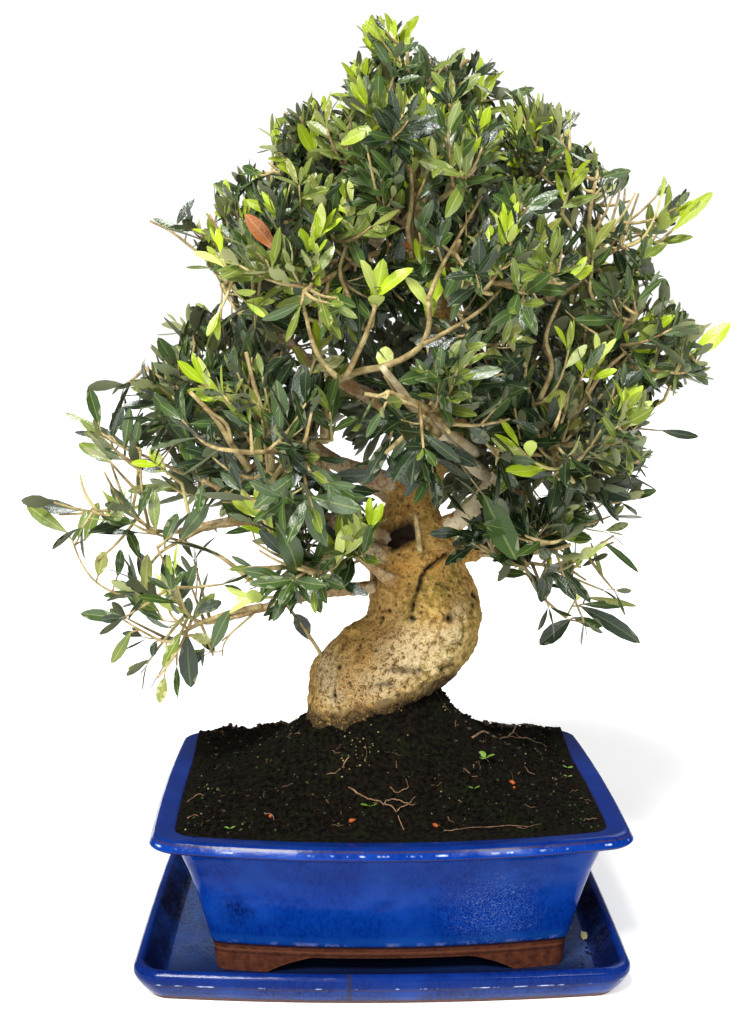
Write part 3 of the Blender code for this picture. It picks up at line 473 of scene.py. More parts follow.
# Bare wood of its own: the pixels that it runs through, its depth and its radius at both ends
BARE_TWIGS = (
    (((262, 606), (232, 612), (206, 621), (188, 629)), (-0.030, -0.030), (0.0026, 0.0015)),
    (((188, 629), (172, 616), (166, 598)), (-0.030, -0.030), (0.0014, 0.0008)),
    (((206, 621), (180, 634), (166, 642), (140, 630), (121, 618)), (-0.030, -0.030), (0.0013, 0.0008)),
    (((166, 642), (167, 660), (164, 677)), (-0.030, -0.030), (0.0009, 0.0005)),
    (((300, 524), (262, 521), (235, 522), (206, 528), (180, 541)), (-0.026, -0.026), (0.0026, 0.0016)),
    (((254, 584), (236, 568), (214, 553), (180, 541)), (-0.030, -0.030), (0.0022, 0.0014)),
    (((180, 541), (160, 553), (144, 575), (140, 596)), (-0.026, -0.026), (0.0015, 0.0008)),
    (((180, 541), (152, 532), (142, 520)), (-0.022, -0.022), (0.0012, 0.0007)),
    (((140, 596), (118, 594), (96, 582), (82, 564), (72, 540)), (-0.020, -0.020), (0.0011, 0.0007)),
    (((184, 474), (150, 458), (124, 448), (100, 432)), (-0.014, -0.014), (0.0014, 0.0008)),
    (((512, 545), (524, 566), (538, 592), (552, 606), (566, 618)), (0.000, 0.000), (0.0015, 0.0010)),
    (((538, 586), (554, 580), (568, 577), (574, 568)), (-0.004, -0.004), (0.0009, 0.0006)),
    (((566, 618), (572, 606), (578, 596)), (0.000, 0.000), (0.0009, 0.0006)),
    (((253, 614), (222, 641)), (-0.030, -0.030), (0.0011, 0.0007)),
    (((232, 632), (224, 644), (222, 656)), (-0.030, -0.030), (0.0007, 0.0005)),
    (((322, 656), (312, 640), (298, 620), (284, 602)), (0.000, 0.000), (0.0017, 0.0012)),
    (((600, 304), (640, 262), (666, 236), (692, 212)), (-0.004, -0.004), (0.0016, 0.0009)),
    (((185, 372), (214, 392), (240, 422), (258, 452)), (-0.040, -0.040), (0.0018, 0.0028)),
    (((202, 480), (228, 494), (252, 512)), (-0.050, -0.050), (0.0015, 0.0024)),
    (((420, 552), (418, 534), (415, 514)), (-0.030, -0.030), (0.0024, 0.0018)),
    (((560, 420), (600, 398), (630, 383)), (-0.020, -0.020), (0.0018, 0.0010)),
    (((150, 221), (172, 232), (198, 252), (226, 268)), (0.000, 0.000), (0.0008, 0.0014)),
)

# Limbs that show in front of the leaves: the pixels that they run through, and their depth and radius
# at both ends. The pale ones have the pale bark.
SHOWN_LIMBS = (
    (((324, 442), (325, 415), (330, 394), (340, 380), (360, 371), (382, 367), (406, 357), (422, 344),
      (429, 325),
      (428, 302)), (-0.070, -0.160), (0.0034, 0.0017)),
    (((340, 380), (322, 362), (312, 340), (305, 312)), (-0.120, -0.140), (0.0023, 0.0013)),
    (((346, 377), (358, 352), (368, 330), (376, 304)), (-0.122, -0.150), (0.0023, 0.0014)),
    (((424, 344), (450, 330), (478, 312), (500, 290)), (-0.146, -0.120), (0.0018, 0.0010)),
    (((412, 258), (408, 230), (412, 200), (411, 168)), (-0.105, -0.120), (0.0024, 0.0013)),
    (((428, 300), (440, 270), (458, 238), (482, 196)), (-0.150, -0.115), (0.0018, 0.0010)),
    (((350, 300), (340, 272), (346, 246)), (-0.120, -0.120), (0.0018, 0.0011)),
    (((250, 470), (232, 445), (215, 418), (190, 392)), (-0.070, -0.080), (0.0030, 0.0015)),
    (((272, 470), (268, 430), (256, 392), (246, 352)), (-0.100, -0.110), (0.0028, 0.0014)),
    (((232, 445), (226, 424), (204, 408)), (-0.076, -0.080), (0.0018, 0.0011)),
    (((560, 440), (580, 408), (600, 376), (626, 352)), (-0.060, -0.040), (0.0022, 0.0012)),
    (((540, 400), (552, 368), (546, 336), (560, 300)), (-0.090, -0.080), (0.0022, 0.0012)),
)
PALE_LIMBS = (
    (((382, 367), (400, 389), (416, 409), (434, 425), (458, 440), (476, 453)), (-0.136, -0.046),
     (0.0024, 0.0044)),
)

# How far in pixels nothing grows beside a limb that shows
LIMB_MARGIN = 7

# Where the crown is bare from the sides: the middle, the half size and the number of further shoots
FILLED = (
    ((0.105, -0.025, 0.520), (0.030, 0.030, 0.050), 14), ((0.020, 0.075, 0.470), (0.035, 0.030, 0.050), 14),
    ((0.070, -0.050, 0.490), (0.030, 0.020, 0.050), 10), ((0.080, 0.060, 0.530), (0.035, 0.030, 0.050), 12),
    ((-0.040, 0.070, 0.520), (0.035, 0.030, 0.050), 12),
)

# Leaf kinds: the colours of the upper side, the midrib and the underside
LEAF_KINDS = {
    "dark": ((0.042, 0.080, 0.017), (0.130, 0.165, 0.042), (0.160, 0.195, 0.098)),
    # Painted shade: the deep kind is a darker copy of the dark one, dealt mostly to leaves inside and low in
    # the crown.
    "deep": ((0.012, 0.026, 0.008), (0.060, 0.084, 0.024), (0.105, 0.120, 0.058)),
    "mid": ((0.132, 0.180, 0.026), (0.250, 0.275, 0.064), (0.320, 0.340, 0.140)),
    "olive": ((0.205, 0.225, 0.042), (0.300, 0.305, 0.085), (0.380, 0.385, 0.170)),
    "spring": ((0.270, 0.350, 0.012), (0.380, 0.440, 0.050), (0.430, 0.500, 0.110)),
    # Young and fresh leaves: paler as young growth is, and partly painted light shining through them.
    "young": ((0.380, 0.520, 0.018), (0.520, 0.620, 0.090), (0.560, 0.660, 0.150)),
    "fresh": ((0.600, 0.680, 0.170), (0.680, 0.740, 0.260), (0.700, 0.760, 0.340)),
    "dead": ((0.360, 0.110, 0.018), (0.430, 0.200, 0.060), (0.330, 0.130, 0.035)),
    "white": ((0.780, 0.800, 0.640), (0.800, 0.820, 0.700), (0.780, 0.800, 0.660)),
}


def camera_axes():
    """The ways to the right, up and forward of the camera."""
    flat = math.cos(CAMERA_DOWN)
    forward = Vector((math.sin(CAMERA_YAW) * flat, math.cos(CAMERA_YAW) * flat, -math.sin(CAMERA_DOWN)))
    level = Vector((math.cos(CAMERA_YAW), -math.sin(CAMERA_YAW), 0))
    above = level.cross(forward)
    right = level * math.cos(CAMERA_ROLL) + above * math.sin(CAMERA_ROLL)
    up = above * math.cos(CAMERA_ROLL) - level * math.sin(CAMERA_ROLL)
    return right, up, forward


EYE = Vector(CAMERA_PLACE)
RIGHT, ABOVE, FORWARD = camera_axes()
FOCUS = CAMERA_LENS / SENSOR * FRAME[1]


def pixel_of(point):
    """The pixel of the frame at which a point shows."""
    ray = point - EYE
    scale = FOCUS / ray.dot(FORWARD)
    return FRAME[0] / 2 + scale * ray.dot(RIGHT), FRAME[1] / 2 - scale * ray.dot(ABOVE)


def at_pixel(x, y, depth):
    """The point at a depth that shows at a pixel of the frame."""
    ray = FORWARD + RIGHT * ((x - FRAME[0] / 2) / FOCUS) - ABOVE * ((y - FRAME[1] / 2) / FOCUS)
    return EYE + ray * ((depth - EYE.y) / ray.y)


def to_array(points):
    return np.array([tuple(p) for p in points], float)


def clamp(value):
    return min(1.0, max(0.0, value))


def jitter(rng, reach):
    """A random offset of up to reach along each axis."""
    return Vector([rng.uniform(-reach, reach) for _ in range(3)])


def random_way(rng):
    return Vector([rng.gauss(0, 1) for _ in range(3)]).normalized()


def noise_at(points, size):
    """Noise at each point, with features of about the size given."""
    return np.array([noise.noise(Vector(p) / size) for p in points])


# Meshes from arrays

def add_piece(name, points, faces, materials, slots=None, smooth=True, sharp=None):
    """An object from arrays. Faces all have the same number of corners, and slots gives each its material."""
    faces = np.asarray(faces, np.int32)
    mesh = bpy.data.meshes.new(name)
    mesh.vertices.add(len(points))
    mesh.vertices.foreach_set("co", np.asarray(points, np.float32).ravel())
    mesh.loops.add(faces.size)
    mesh.loops.foreach_set("vertex_index", faces.ravel())
    mesh.polygons.add(len(faces))
    mesh.polygons.foreach_set("loop_start", np.arange(0, faces.size, faces.shape[1], dtype=np.int32))
    if slots is not None:
        mesh.polygons.foreach_set("material_index", np.asarray(slots, np.int32))
    mesh.update(calc_edges=True)
    return finish_piece(name, mesh, materials, smooth, sharp)


def raw_mesh(name, points, faces):
    """A mesh from lists of points and of faces with any number of corners."""
    mesh = bpy.data.meshes.new(name)
    mesh.from_pydata([tuple(p) for p in points], [], faces)
    return mesh


def put(name, data):
    """An object with its data, linked to the scene."""
    obj = bpy.data.objects.new(name, data)
    bpy.context.scene.collection.objects.link(obj)
    return obj


def baked(obj):
    """A new mesh with the object's modifiers applied."""
    bpy.context.view_layer.update()
    return bpy.data.meshes.new_from_object(obj.evaluated_get(bpy.context.evaluated_depsgraph_get()))


def finish_piece(name, mesh, materials, smooth=True, sharp=None):
    for material in materials:
        mesh.materials.append(material)
    if smooth:
        mesh.shade_smooth()
    if sharp is not None:
        mesh.set_sharp_from_angle(angle=math.radians(sharp))
    return put(name, mesh)


def set_values(obj, name, values):
    """A number for each point, that the piece's material reads."""
    attribute = obj.data.attributes.new(name, "FLOAT", "POINT")
    attribute.data.foreach_set("value", np.asarray(values, np.float32))


class Batch:
    """Points and triangles of many small closed shapes, to be joined in one piece."""

    def __init__(self):
        self.points = []
        self.faces = []
        self.count = 0

    def add(self, points, faces):
        self.points.append(np.asarray(points, float))
        self.faces.append(np.asarray(faces, int) + self.count)
        self.count += len(points)

    def piece(self, name, material, **settings):
        return add_piece(name, np.vstack(self.points), np.vstack(self.faces), [material], **settings)


def tube_arrays(points, radii, sides):
    """A closed tube of triangles along points, with a point in the middle of each end."""
    points = [Vector(p) for p in points]
    frames = tube_frames(points)
    side_ways = to_array([f[1] for f in frames])[:, None, :]
    others = to_array([f[2] for f in frames])[:, None, :]
    angles = 2 * np.pi * np.arange(sides) / sides
    middles = to_array(points)
    around = np.cos(angles)[None, :, None] * side_ways + np.sin(angles)[None, :, None] * others
    rings = middles[:, None, :] + np.asarray(radii)[:, None, None] * around
    count = len(points)
    low = (np.arange(count - 1)[:, None] * sides + np.arange(sides)[None, :]).ravel()
    turn = (np.arange(count - 1)[:, None] * sides + (np.arange(sides)[None, :] + 1) % sides).ravel()
    faces = [np.stack([low, turn, turn + sides], 1), np.stack([low, turn + sides, low + sides], 1)]
    ring = np.arange(sides)
    after = (ring + 1) % sides
    first_middle = count * sides
    last = (count - 1) * sides
    faces.append(np.stack([after, ring, np.full(sides, first_middle)], 1))
    faces.append(np.stack([last + ring, last + after, np.full(sides, first_middle + 1)], 1))
    return np.vstack([rings.reshape(-1, 3), middles[:1], middles[-1:]]), np.vstack(faces)


# Materials

# Brown ridge lines on the rim and the tray: the height and the half width. A line of painted highlight over
# a line of painted shade, which stand for a ridge round the clay foot: the height and the colour. Then the
# place across of the tray's seam.
RIM_RIDGES = ((0.1168, 0.0010), (0.1226, 0.0009))
TRAY_RIDGES = ((TRAY_RIDGE - 0.0012, 0.0012), (0.0036, 0.0012))
FOOT_RIDGE_LIGHT_AND_SHADE = ((0.0248, (0.150, 0.055, 0.026)), (0.0222, (0.020, 0.006, 0.003)))
SEAM_PLACE = -0.0254


class Skin:
    """A material in the making: its shader's nodes, and the colour that its layers have come to so far."""

    def __init__(self, name, colour, roughness, **sockets):
        """Plain values first. Sockets names further values of the shader, with _ for each space."""
        self.material = bpy.data.materials.new(name)
        self.material.use_nodes = True
        self.material.diffuse_color = (*colour, 1.0)
        self.tree = self.material.node_tree
        self.shader = self.tree.nodes["Principled BSDF"]
        self.colour = colour
        sockets.update(Base_Color=(*colour, 1.0), Roughness=roughness)
        for socket, value in sockets.items():
            self.shader.inputs[socket.replace("_", " ")].default_value = value

    def node(self, kind, inputs, **settings):
        """A shader node, with inputs set to values or linked to the outputs given."""
        made = self.tree.nodes.new("ShaderNode" + kind)
        for key, value in settings.items():
            setattr(made, key, value)
        for key, value in inputs.items():
            if isinstance(value, bpy.types.NodeSocket):
                self.tree.links.new(value, made.inputs[key])
            else:
                made.inputs[key].default_value = value
        return made

    def math(self, operation, *values, clamp=False):
        return self.node("Math", dict(enumerate(values)), operation=operation,
                         use_clamp=clamp).outputs["Value"]

    def times(self, first, second):
        return self.math("MULTIPLY", first, second, clamp=True)

    def plus(self, first, second):
        return self.math("ADD", first, second, clamp=True)

    def place(self):
        return self.node("TexCoord", {}).outputs["Object"]

    def axis(self, name):
        return self.node("SeparateXYZ", {"Vector": self.place()}).outputs[name]

    def off(self, axis, middle):
        """How far the place is from a middle along one axis."""
        return self.math("ABSOLUTE", self.math("SUBTRACT", self.axis(axis), middle))

    def value(self, name):
        """The number that set_values gave each point under this name."""
        return self.node("Attribute", {}, attribute_name=name).outputs["Fac"]

    def steps(self, factor, low, high):
        """Factor stretched so that low becomes 0 and high becomes 1."""
        return self.node("MapRange", {"Value": factor, "From Min": low, "From Max": high}).outputs["Result"]

    def band(self, middle, half):
        """1 at a height, falling to 0 a half band above and below it."""
        return self.steps(self.off("Z", middle), half, 0.2 * half)

    def spot(self, place, size, ragged=None):
        """1 at a place, falling to 0 at a distance of size. Ragged noise makes its edge uneven."""
        away = self.node("VectorMath", {0: self.place(), 1: place}, operation="DISTANCE").outputs["Value"]
        if not ragged:
            return self.steps(away, size, 0.0)
        return self.steps(self.math("MULTIPLY_ADD", ragged, -size, away), size * 0.5, -size * 0.3)

    def cracks(self, size, wide):
        """1 on a net of fine cracks whose cells are about size across."""
        edges = self.node("TexVoronoi", {"Vector": self.place(), "Scale": 1 / size},
                          feature="DISTANCE_TO_EDGE")
        return self.steps(edges.outputs["Distance"], wide / size, 0.2 * wide / size)

    def noise(self, size, detail=3.0, rough=0.55, stretch=None):
        """Noise whose features are about size across."""
        place = self.place()
        if stretch:
            place = self.node("Mapping", {"Vector": place, "Scale": stretch}).outputs["Vector"]
        inputs = {"Vector": place, "Scale": 1 / size, "Detail": detail, "Roughness": rough}
        return self.node("TexNoise", inputs).outputs["Fac"]

    def base(self, share, first, second):
        """Starts the colour as a blend of two."""
        self.colour = first
        self.cover(share, second)

    def cover(self, share, colour):
        """Lays a colour over the one so far, as far as share goes from 0 to 1."""
        ends = {6: self.colour, 7: colour}
        inputs = {key: (*end, 1.0) if isinstance(end, tuple) else end for key, end in ends.items()}
        self.colour = self.node("Mix", {0: share, **inputs}, data_type="RGBA").outputs[2]
        self.tree.links.new(self.colour, self.shader.inputs["Base Color"])

    def emboss(self, heights):
        """Bump from pairs of height and depth in metres, one on the other."""
        normal = {}
        for height, depth in heights:
            bump = self.node("Bump", {"Height": height, "Distance": depth, **normal})
            normal = {"Normal": bump.outputs["Normal"]}
        self.tree.links.new(bump.outputs["Normal"], self.shader.inputs["Normal"])


def trunk_material():
    skin = Skin("ochre_bark_relief", (0.42, 0.26, 0.09), 0.70, Specular_IOR_Level=0.20)
    broad = skin.noise(0.026)
    fine = skin.noise(0.0050, detail=6, rough=0.68)
    grit = skin.noise(0.0019, detail=4, rough=0.65)
    dust = skin.noise(0.0009, detail=2)
    skin.base(skin.steps(broad, 0.36, 0.62), (0.330, 0.165, 0.026), (0.560, 0.330, 0.072))
    skin.cover(skin.steps(fine, 0.46, 0.66), (0.660, 0.430, 0.130))
    patches = skin.times(skin.value("pale"), skin.steps(fine, 0.40, 0.52))
    skin.cover(patches, (0.740, 0.570, 0.300))
    rust = skin.times(skin.value("rust"), skin.steps(fine, 0.42, 0.60))
    skin.cover(rust, (0.500, 0.225, 0.032))
    moss = skin.times(skin.value("moss"), skin.steps(fine, 0.60, 0.40))
    skin.cover(moss, (0.300, 0.225, 0.030))
    scars = skin.times(skin.steps(fine, 0.46, 0.38), skin.value("specks"))
    skin.cover(scars, (0.140, 0.062, 0.010))
    specks = skin.times(skin.steps(grit, 0.56, 0.64), skin.value("specks"))
    skin.cover(specks, (0.100, 0.044, 0.008))
    palest = skin.plus(skin.value("pale"), 0.35)
    light = skin.times(skin.steps(dust, 0.58, 0.68), palest)
    skin.cover(light, (0.880, 0.760, 0.500))
    skin.cover(skin.value("buried"), (0.048, 0.028, 0.011))
    crumbs = skin.times(skin.steps(grit, 0.55, 0.62), skin.value("buried"))
    skin.cover(crumbs, (0.340, 0.220, 0.050))
    # Dark of pores, pits, the hollow, strip, dents, crack and knot groove: partly the bark's own colour,
    # partly painted shade.
    skin.cover(skin.value("dark"), (0.018, 0.008, 0.003))
    skin.emboss([(fine, 0.0032), (grit, 0.0016), (dust, 0.0003)])
    return skin.material


def bough_material():
    skin = Skin("grey_ochre_bark", (0.42, 0.32, 0.18), 0.75, Specular_IOR_Level=0.3)
    broad = skin.noise(0.018)
    fine = skin.noise(0.0032, detail=5, rough=0.65)
    grit = skin.noise(0.0012, detail=3)
    skin.base(skin.steps(broad, 0.38, 0.62), (0.400, 0.230, 0.085), (0.620, 0.510, 0.320))
    skin.cover(skin.steps(fine, 0.46, 0.66), (0.240, 0.140, 0.052))
    skin.cover(skin.value("pale"), (0.820, 0.720, 0.480))
    specks = skin.steps(grit, 0.60, 0.70)
    skin.cover(specks, (0.110, 0.060, 0.022))
    skin.emboss([(fine, 0.0016), (grit, 0.0006)])
    return skin.material


def glaze_base(name, deep, bright):
    """Mottled cobalt glaze, and its two noises that later layers need."""
    skin = Skin(name, bright, 0.14, Specular_IOR_Level=0.08, Coat_Weight=0.035, Coat_Roughness=0.03)
    clouds = skin.noise(0.040, detail=2)
    mottle = skin.noise(0.0024, detail=4, stretch=(1.0, 1.0, 0.5))
    runs = skin.noise(0.0080, detail=4, stretch=(1.0, 1.0, 0.20))
    skin.base(skin.steps(mottle, 0.36, 0.62), deep, bright)
    skin.cover(skin.times(skin.steps(runs, 0.46, 0.72), 0.10), deep)
    lighter = tuple(0.5 * (c + b) for c, b in zip(bright, (0.010, 0.065, 0.340)))
    skin.cover(skin.steps(clouds, 0.44, 0.78), lighter)
    return skin, mottle, clouds


def ridge_lines(skin, mottle, bands):
    """Brown where the glaze runs thin over the ridges at the heights given."""
    for middle, half in bands:
        thin = skin.times(skin.band(middle, half), skin.steps(mottle, 0.30, 0.50))
        skin.cover(skin.times(thin, 0.8), (0.040, 0.022, 0.026))


def painted_glints(skin, height, half):
    """Broken pale lines of painted highlight: glints of light painted along a ridge of the glaze."""
    dashes = skin.steps(skin.noise(0.0120, detail=3, stretch=(1.0, 1.0, 0.1)), 0.56, 0.66)
    skin.cover(skin.times(skin.band(height, half), dashes), (0.420, 0.500, 0.740))


def pot_glaze():
    skin, mottle, clouds = glaze_base("cobalt_glaze", (0.0009, 0.016, 0.150), (0.0013, 0.028, 0.208))
    runs = skin.noise(0.0080, detail=3)
    grit = skin.noise(0.0011, detail=2)
    stain = skin.spot((-0.1096, -0.1152, 0.0600), 0.017, ragged=runs)
    skin.cover(skin.times(stain, skin.steps(mottle, 0.80, 0.36)), (0.001, 0.004, 0.050))
    craze = skin.times(skin.spot((0.0846, -0.1224, 0.0600), 0.042, ragged=runs), skin.cracks(0.0026, 0.00035))
    craze = skin.times(craze, skin.steps(grit, 0.42, 0.62))
    skin.cover(skin.times(craze, 0.42), (0.200, 0.290, 0.560))
    flecks = skin.times(skin.spot((0.0860, -0.1200, 0.0620), 0.060), skin.steps(grit, 0.62, 0.72))
    skin.cover(skin.times(flecks, 0.4), (0.120, 0.180, 0.420))
    veil = skin.times(skin.band(GLAZE_LINE + 0.0050, 0.0050), 0.30)
    skin.cover(veil, (0.010, 0.080, 0.320))
    smears = skin.steps(skin.noise(0.0120, detail=5, rough=0.7), 0.50, 0.62)
    line = skin.times(skin.band(GLAZE_LINE + 0.0020, 0.0026), smears)
    skin.cover(skin.times(line, 0.45), (0.200, 0.240, 0.460))
    # Painted shade under the rim's lip: a darker band on the lip's underside and the neck below it.
    shade_under_lip = skin.times(skin.band(0.1130, 0.0050), 0.8)
    skin.cover(shade_under_lip, (0.001, 0.008, 0.075))
    upper_lip = skin.times(skin.steps(skin.axis("Z"), 0.1215, 0.1228), 0.55)
    skin.cover(upper_lip, (0.002, 0.010, 0.090))
    ridge_lines(skin, mottle, RIM_RIDGES)
    # Painted highlight: glints along the middle of the rim's lip.
    painted_glints(skin, 0.1202, 0.0008)
    skin.emboss([(mottle, 0.00012), (clouds, 0.0016)])
    return skin.material


def tray_glaze():
    skin, mottle, clouds = glaze_base("deep_tray_glaze", (0.001, 0.010, 0.085), (0.004, 0.030, 0.175))
    upper = skin.times(skin.steps(skin.axis("Z"), TRAY_RIDGE, TRAY_RIDGE + 0.001), 0.6)
    skin.cover(upper, (0.001, 0.008, 0.090))
    ridge_lines(skin, mottle, TRAY_RIDGES)
    # Painted highlight: glints along the tray's ridge.
    painted_glints(skin, TRAY_RIDGE + 0.0004, 0.0007)
    near_seam = skin.steps(skin.off("X", SEAM_PLACE), 0.0022, 0.0012)
    front = skin.steps(skin.axis("Y"), -0.135, -0.140)
    seam = skin.times(skin.times(near_seam, front), 0.8)
    skin.cover(seam, (0.016, 0.016, 0.034))
    skin.emboss([(mottle, 0.00012), (clouds, 0.0016)])
    return skin.material


def tray_inside(name, deep, bright):
    """The glaze of the tray's inside, with painted shadow that makes it darker towards the front."""
    skin, mottle, clouds = glaze_base(name, deep, bright)
    dust = skin.noise(0.0030, detail=5)
    skin.cover(skin.times(skin.steps(dust, 0.50, 0.75), 0.3), (0.090, 0.110, 0.150))
    # Painted shadow of the pot and the tray's front wall: darker towards the front.
    front = skin.times(skin.steps(skin.axis("Y"), -0.060, -0.110), 0.95)
    skin.cover(front, (0.002, 0.006, 0.040))
    skin.emboss([(mottle, 0.00016), (clouds, 0.0016)])
    return skin.material


def twig_material(name, light, deep):
    skin = Skin(name, light, 0.65, Specular_IOR_Level=0.3)
    patches = skin.noise(0.010)
    rough = skin.noise(0.0016, detail=4)
    skin.base(skin.steps(patches, 0.40, 0.62), light, deep)
    skin.cover(skin.times(skin.steps(rough, 0.52, 0.64), 0.7), deep)
    skin.emboss([(rough, 0.0007)])
    return skin.material


def leaf_materials(kind, colours):
    """The upper side, the midrib and the underside of one kind of leaf."""
    sides = []
    for side, colour, rough in zip(("upper", "rib", "under"), colours, (0.27, 0.40, 0.60)):
        skin = Skin(f"{kind}_leaf_{side}", colour, rough, Specular_IOR_Level=0.55)
        skin.emboss([(skin.noise(0.0016, detail=2), 0.0003)])
        sides.append(skin.material)
    return sides


def clay_material():
    skin = Skin("brown_clay", (0.080, 0.026, 0.014), 0.60, Specular_IOR_Level=0.30)
    fine = skin.noise(0.006, detail=5)
    grit = skin.noise(0.0010)
    skin.base(skin.steps(fine, 0.36, 0.66), (0.048, 0.011, 0.005), (0.110, 0.030, 0.012))
    skin.cover(skin.steps(grit, 0.66, 0.74), (0.220, 0.115, 0.070))
    edge = skin.times(skin.band(GLAZE_LINE - 0.0010, 0.0016), skin.steps(fine, 0.40, 0.55))
    skin.cover(edge, (0.016, 0.008, 0.020))
    # Painted highlight and painted shade of a ridge round the foot.
    for height, shade in FOOT_RIDGE_LIGHT_AND_SHADE:
        line = skin.times(skin.band(height, 0.0011), 0.7)
        skin.cover(line, shade)
    skin.emboss([(fine, 0.0008), (grit, 0.0003)])
    return skin.material


def soil_material():
    skin = Skin("dark_soil_crumb", (0.010, 0.008, 0.005), 0.95, Specular_IOR_Level=0.08)
    broad = skin.noise(0.030)
    fine = skin.noise(0.0036, detail=6)
    grit = skin.noise(0.0012)
    skin.base(skin.steps(fine, 0.40, 0.62), (0.0016, 0.0013, 0.0008), (0.0100, 0.0070, 0.0036))
    moss = skin.times(skin.steps(broad, 0.46, 0.62), skin.steps(fine, 0.46, 0.60))
    skin.cover(moss, (0.0070, 0.0105, 0.0025))
    skin.cover(skin.steps(grit, 0.68, 0.75), (0.050, 0.032, 0.015))
    skin.emboss([(fine, 0.0040), (grit, 0.0012)])
    return skin.material


def wall_inset(height):
    """How far the top stretch of the pot's inner wall is set in from the rim at a height."""
    (top_inset, top), (low_inset, low) = POT_INSIDE[:2]
    return low_inset + (top_inset - low_inset) * (height - low) / (top - low)


# Shapes that the source also builds

def outline(half, corner, bow, height):
    """A rectangle with round corners whose long sides bow outwards, as points at one height."""
    half_x, half_y = half
    arcs = []
    for side_x, side_y, start in ((1, 1, 0), (-1, 1, 90), (-1, -1, 180), (1, -1, 270)):
        angles = [math.radians(start + 90 * step / CORNER_STEPS) for step in range(CORNER_STEPS + 1)]
        arcs.append([(side_x * (half_x - corner) + corner * math.cos(angle),
                      side_y * (half_y - corner) + corner * math.sin(angle)) for angle in angles])
    points = []
    for index, arc in enumerate(arcs):
        points += arc
        steps = LONG_STEPS if index % 2 == 0 else SHORT_STEPS
        first = arc[-1]
        last = arcs[(index + 1) % 4][0]
        for step in range(1, steps + 1):
            share = step / (steps + 1)
            points.append((first[0] + (last[0] - first[0]) * share, first[1] + (last[1] - first[1]) * share))
    side_bow = SIDE_BOW * bow
    return [(x + side_bow * (x / half_x) * (1 - (y / half_y) ** 2),
             y + bow * (y / half_y) * (1 - (x / half_x) ** 2), height) for x, y in points]


def loft(rings, split=False):
    """Points and faces of the closed solid through rings of equal count. Split sides are triangles."""
    count = len(rings[0])
    points = [p for ring in rings for p in ring]
    faces = [tuple(reversed(range(count)))]
    for level in range(len(rings) - 1):
        low = level * count
        for i in range(count):
            j = (i + 1) % count
            quad = (low + i, low + j, low + count + j, low + count + i)
            faces += [quad[:3], (quad[0], *quad[2:])] if split else [quad]
    last = (len(rings) - 1) * count
    faces.append(tuple(range(last, last + count)))
    return points, faces


def set_in(half, inset):
    return (half[0] - inset, half[1] - SIDE_SHARE * inset)


def pot_ring(inset, height, shrink=0.0):
    """The pot's outline set in from its rim; shrink is a further even clearance."""
    half = set_in(RIM_HALF, inset)
    half = (half[0] - shrink, half[1] - shrink)
    bow = RIM_BOW * (half[0] / RIM_HALF[0]) ** 2
    return outline(half, max(0.006, RIM_CORNER - 0.2 * inset), bow, height)


def mound(x, y):
    """Height of the soil above the edge of the pot's filling."""
    off = math.hypot((x - MOUND_TOP[0]) / MOUND_REACH[0], (y - MOUND_TOP[1]) / MOUND_REACH[1])
    uneven = 0.0016 * math.sin(61 * x + 1.3) * math.cos(73 * y) + 0.0010 * math.sin(140 * x - 90 * y)
    return MOUND_HEIGHT * math.exp(-off ** 2.4) + uneven


def smooth_curve(knots, steps):
    """Rows on a smooth curve through the knots, with steps between one knot and the next."""
    knots = np.array(knots, float)
    ends = np.vstack([2 * knots[0] - knots[1], knots, 2 * knots[-1] - knots[-2]])
    rows = []
    for i in range(len(knots) - 1):
        a, b, c, d = ends[i:i + 4]
        for step in range(steps):
            t = step / steps
            rows.append(0.5 * (2 * b + (c - a) * t + (2 * a - 5 * b + 4 * c - d) * t ** 2
                               + (3 * b - a - 3 * c + d) * t ** 3))
    rows.append(knots[-1])
    return np.array(rows)


def trunk_mesh(grow=0.0, steps=TRUNK_STEPS, sides=TRUNK_SIDES, knot_steps=4):
    """The trunk from its flat cut at the ground to its fork, grown evenly by a clearance."""
    rows = smooth_curve(TRUNK, knot_steps)
    keep = np.linspace(0, len(rows) - 1, steps).round().astype(int)
    rings = []
    for number, row in enumerate(rows[keep]):
        height, across, depth, wide, deep, lean = row
        if number == 0:
            height -= grow
        if number == steps - 1:
            height += grow
        turn = math.radians(lean)
        ring = []
        for side in range(sides):
            angle = 2 * math.pi * side / sides
            swell = 1 + 0.035 * math.sin(3 * angle + 90 * height) + 0.02 * math.sin(5 * angle - 60 * height)
            x = (wide * swell + grow) * math.cos(angle)
            y = (deep * swell + grow) * math.sin(angle)
            ring.append((across + x * math.cos(turn), depth + y, height - x * math.sin(turn)))
        rings.append(ring)
    return loft(rings, split=True)


def tube_frames(points):
    """For each point of a line, the way along it and two ways across, without a twist between points."""
    frames = []
    side_way = None
    for i in range(len(points)):
        along = (points[min(i + 1, len(points) - 1)] - points[max(i - 1, 0)]).normalized()
        side_way = side_way or along.orthogonal()
        side_way = (side_way - along * side_way.dot(along)).normalized()
        frames.append((along, side_way, along.cross(side_way)))
    return frames


def tube_mesh(points, radii, sides, grow=0.0):
    """A tapering tube with flat ends along points. A straight one has flat sides."""
    rings = []
    for i, (along, side_way, other) in enumerate(tube_frames(points)):
        middle = points[i]
        if i == 0:
            middle = middle - along * grow
        if i == len(points) - 1:
            middle = middle + along * grow
        ring = []
        for side in range(sides):
            angle = 2 * math.pi * side / sides
            ring.append(middle + (side_way * math.cos(angle) + other * math.sin(angle)) * (radii[i] + grow))
        rings.append(ring)
    return loft(rings, split=len(points) > 2)


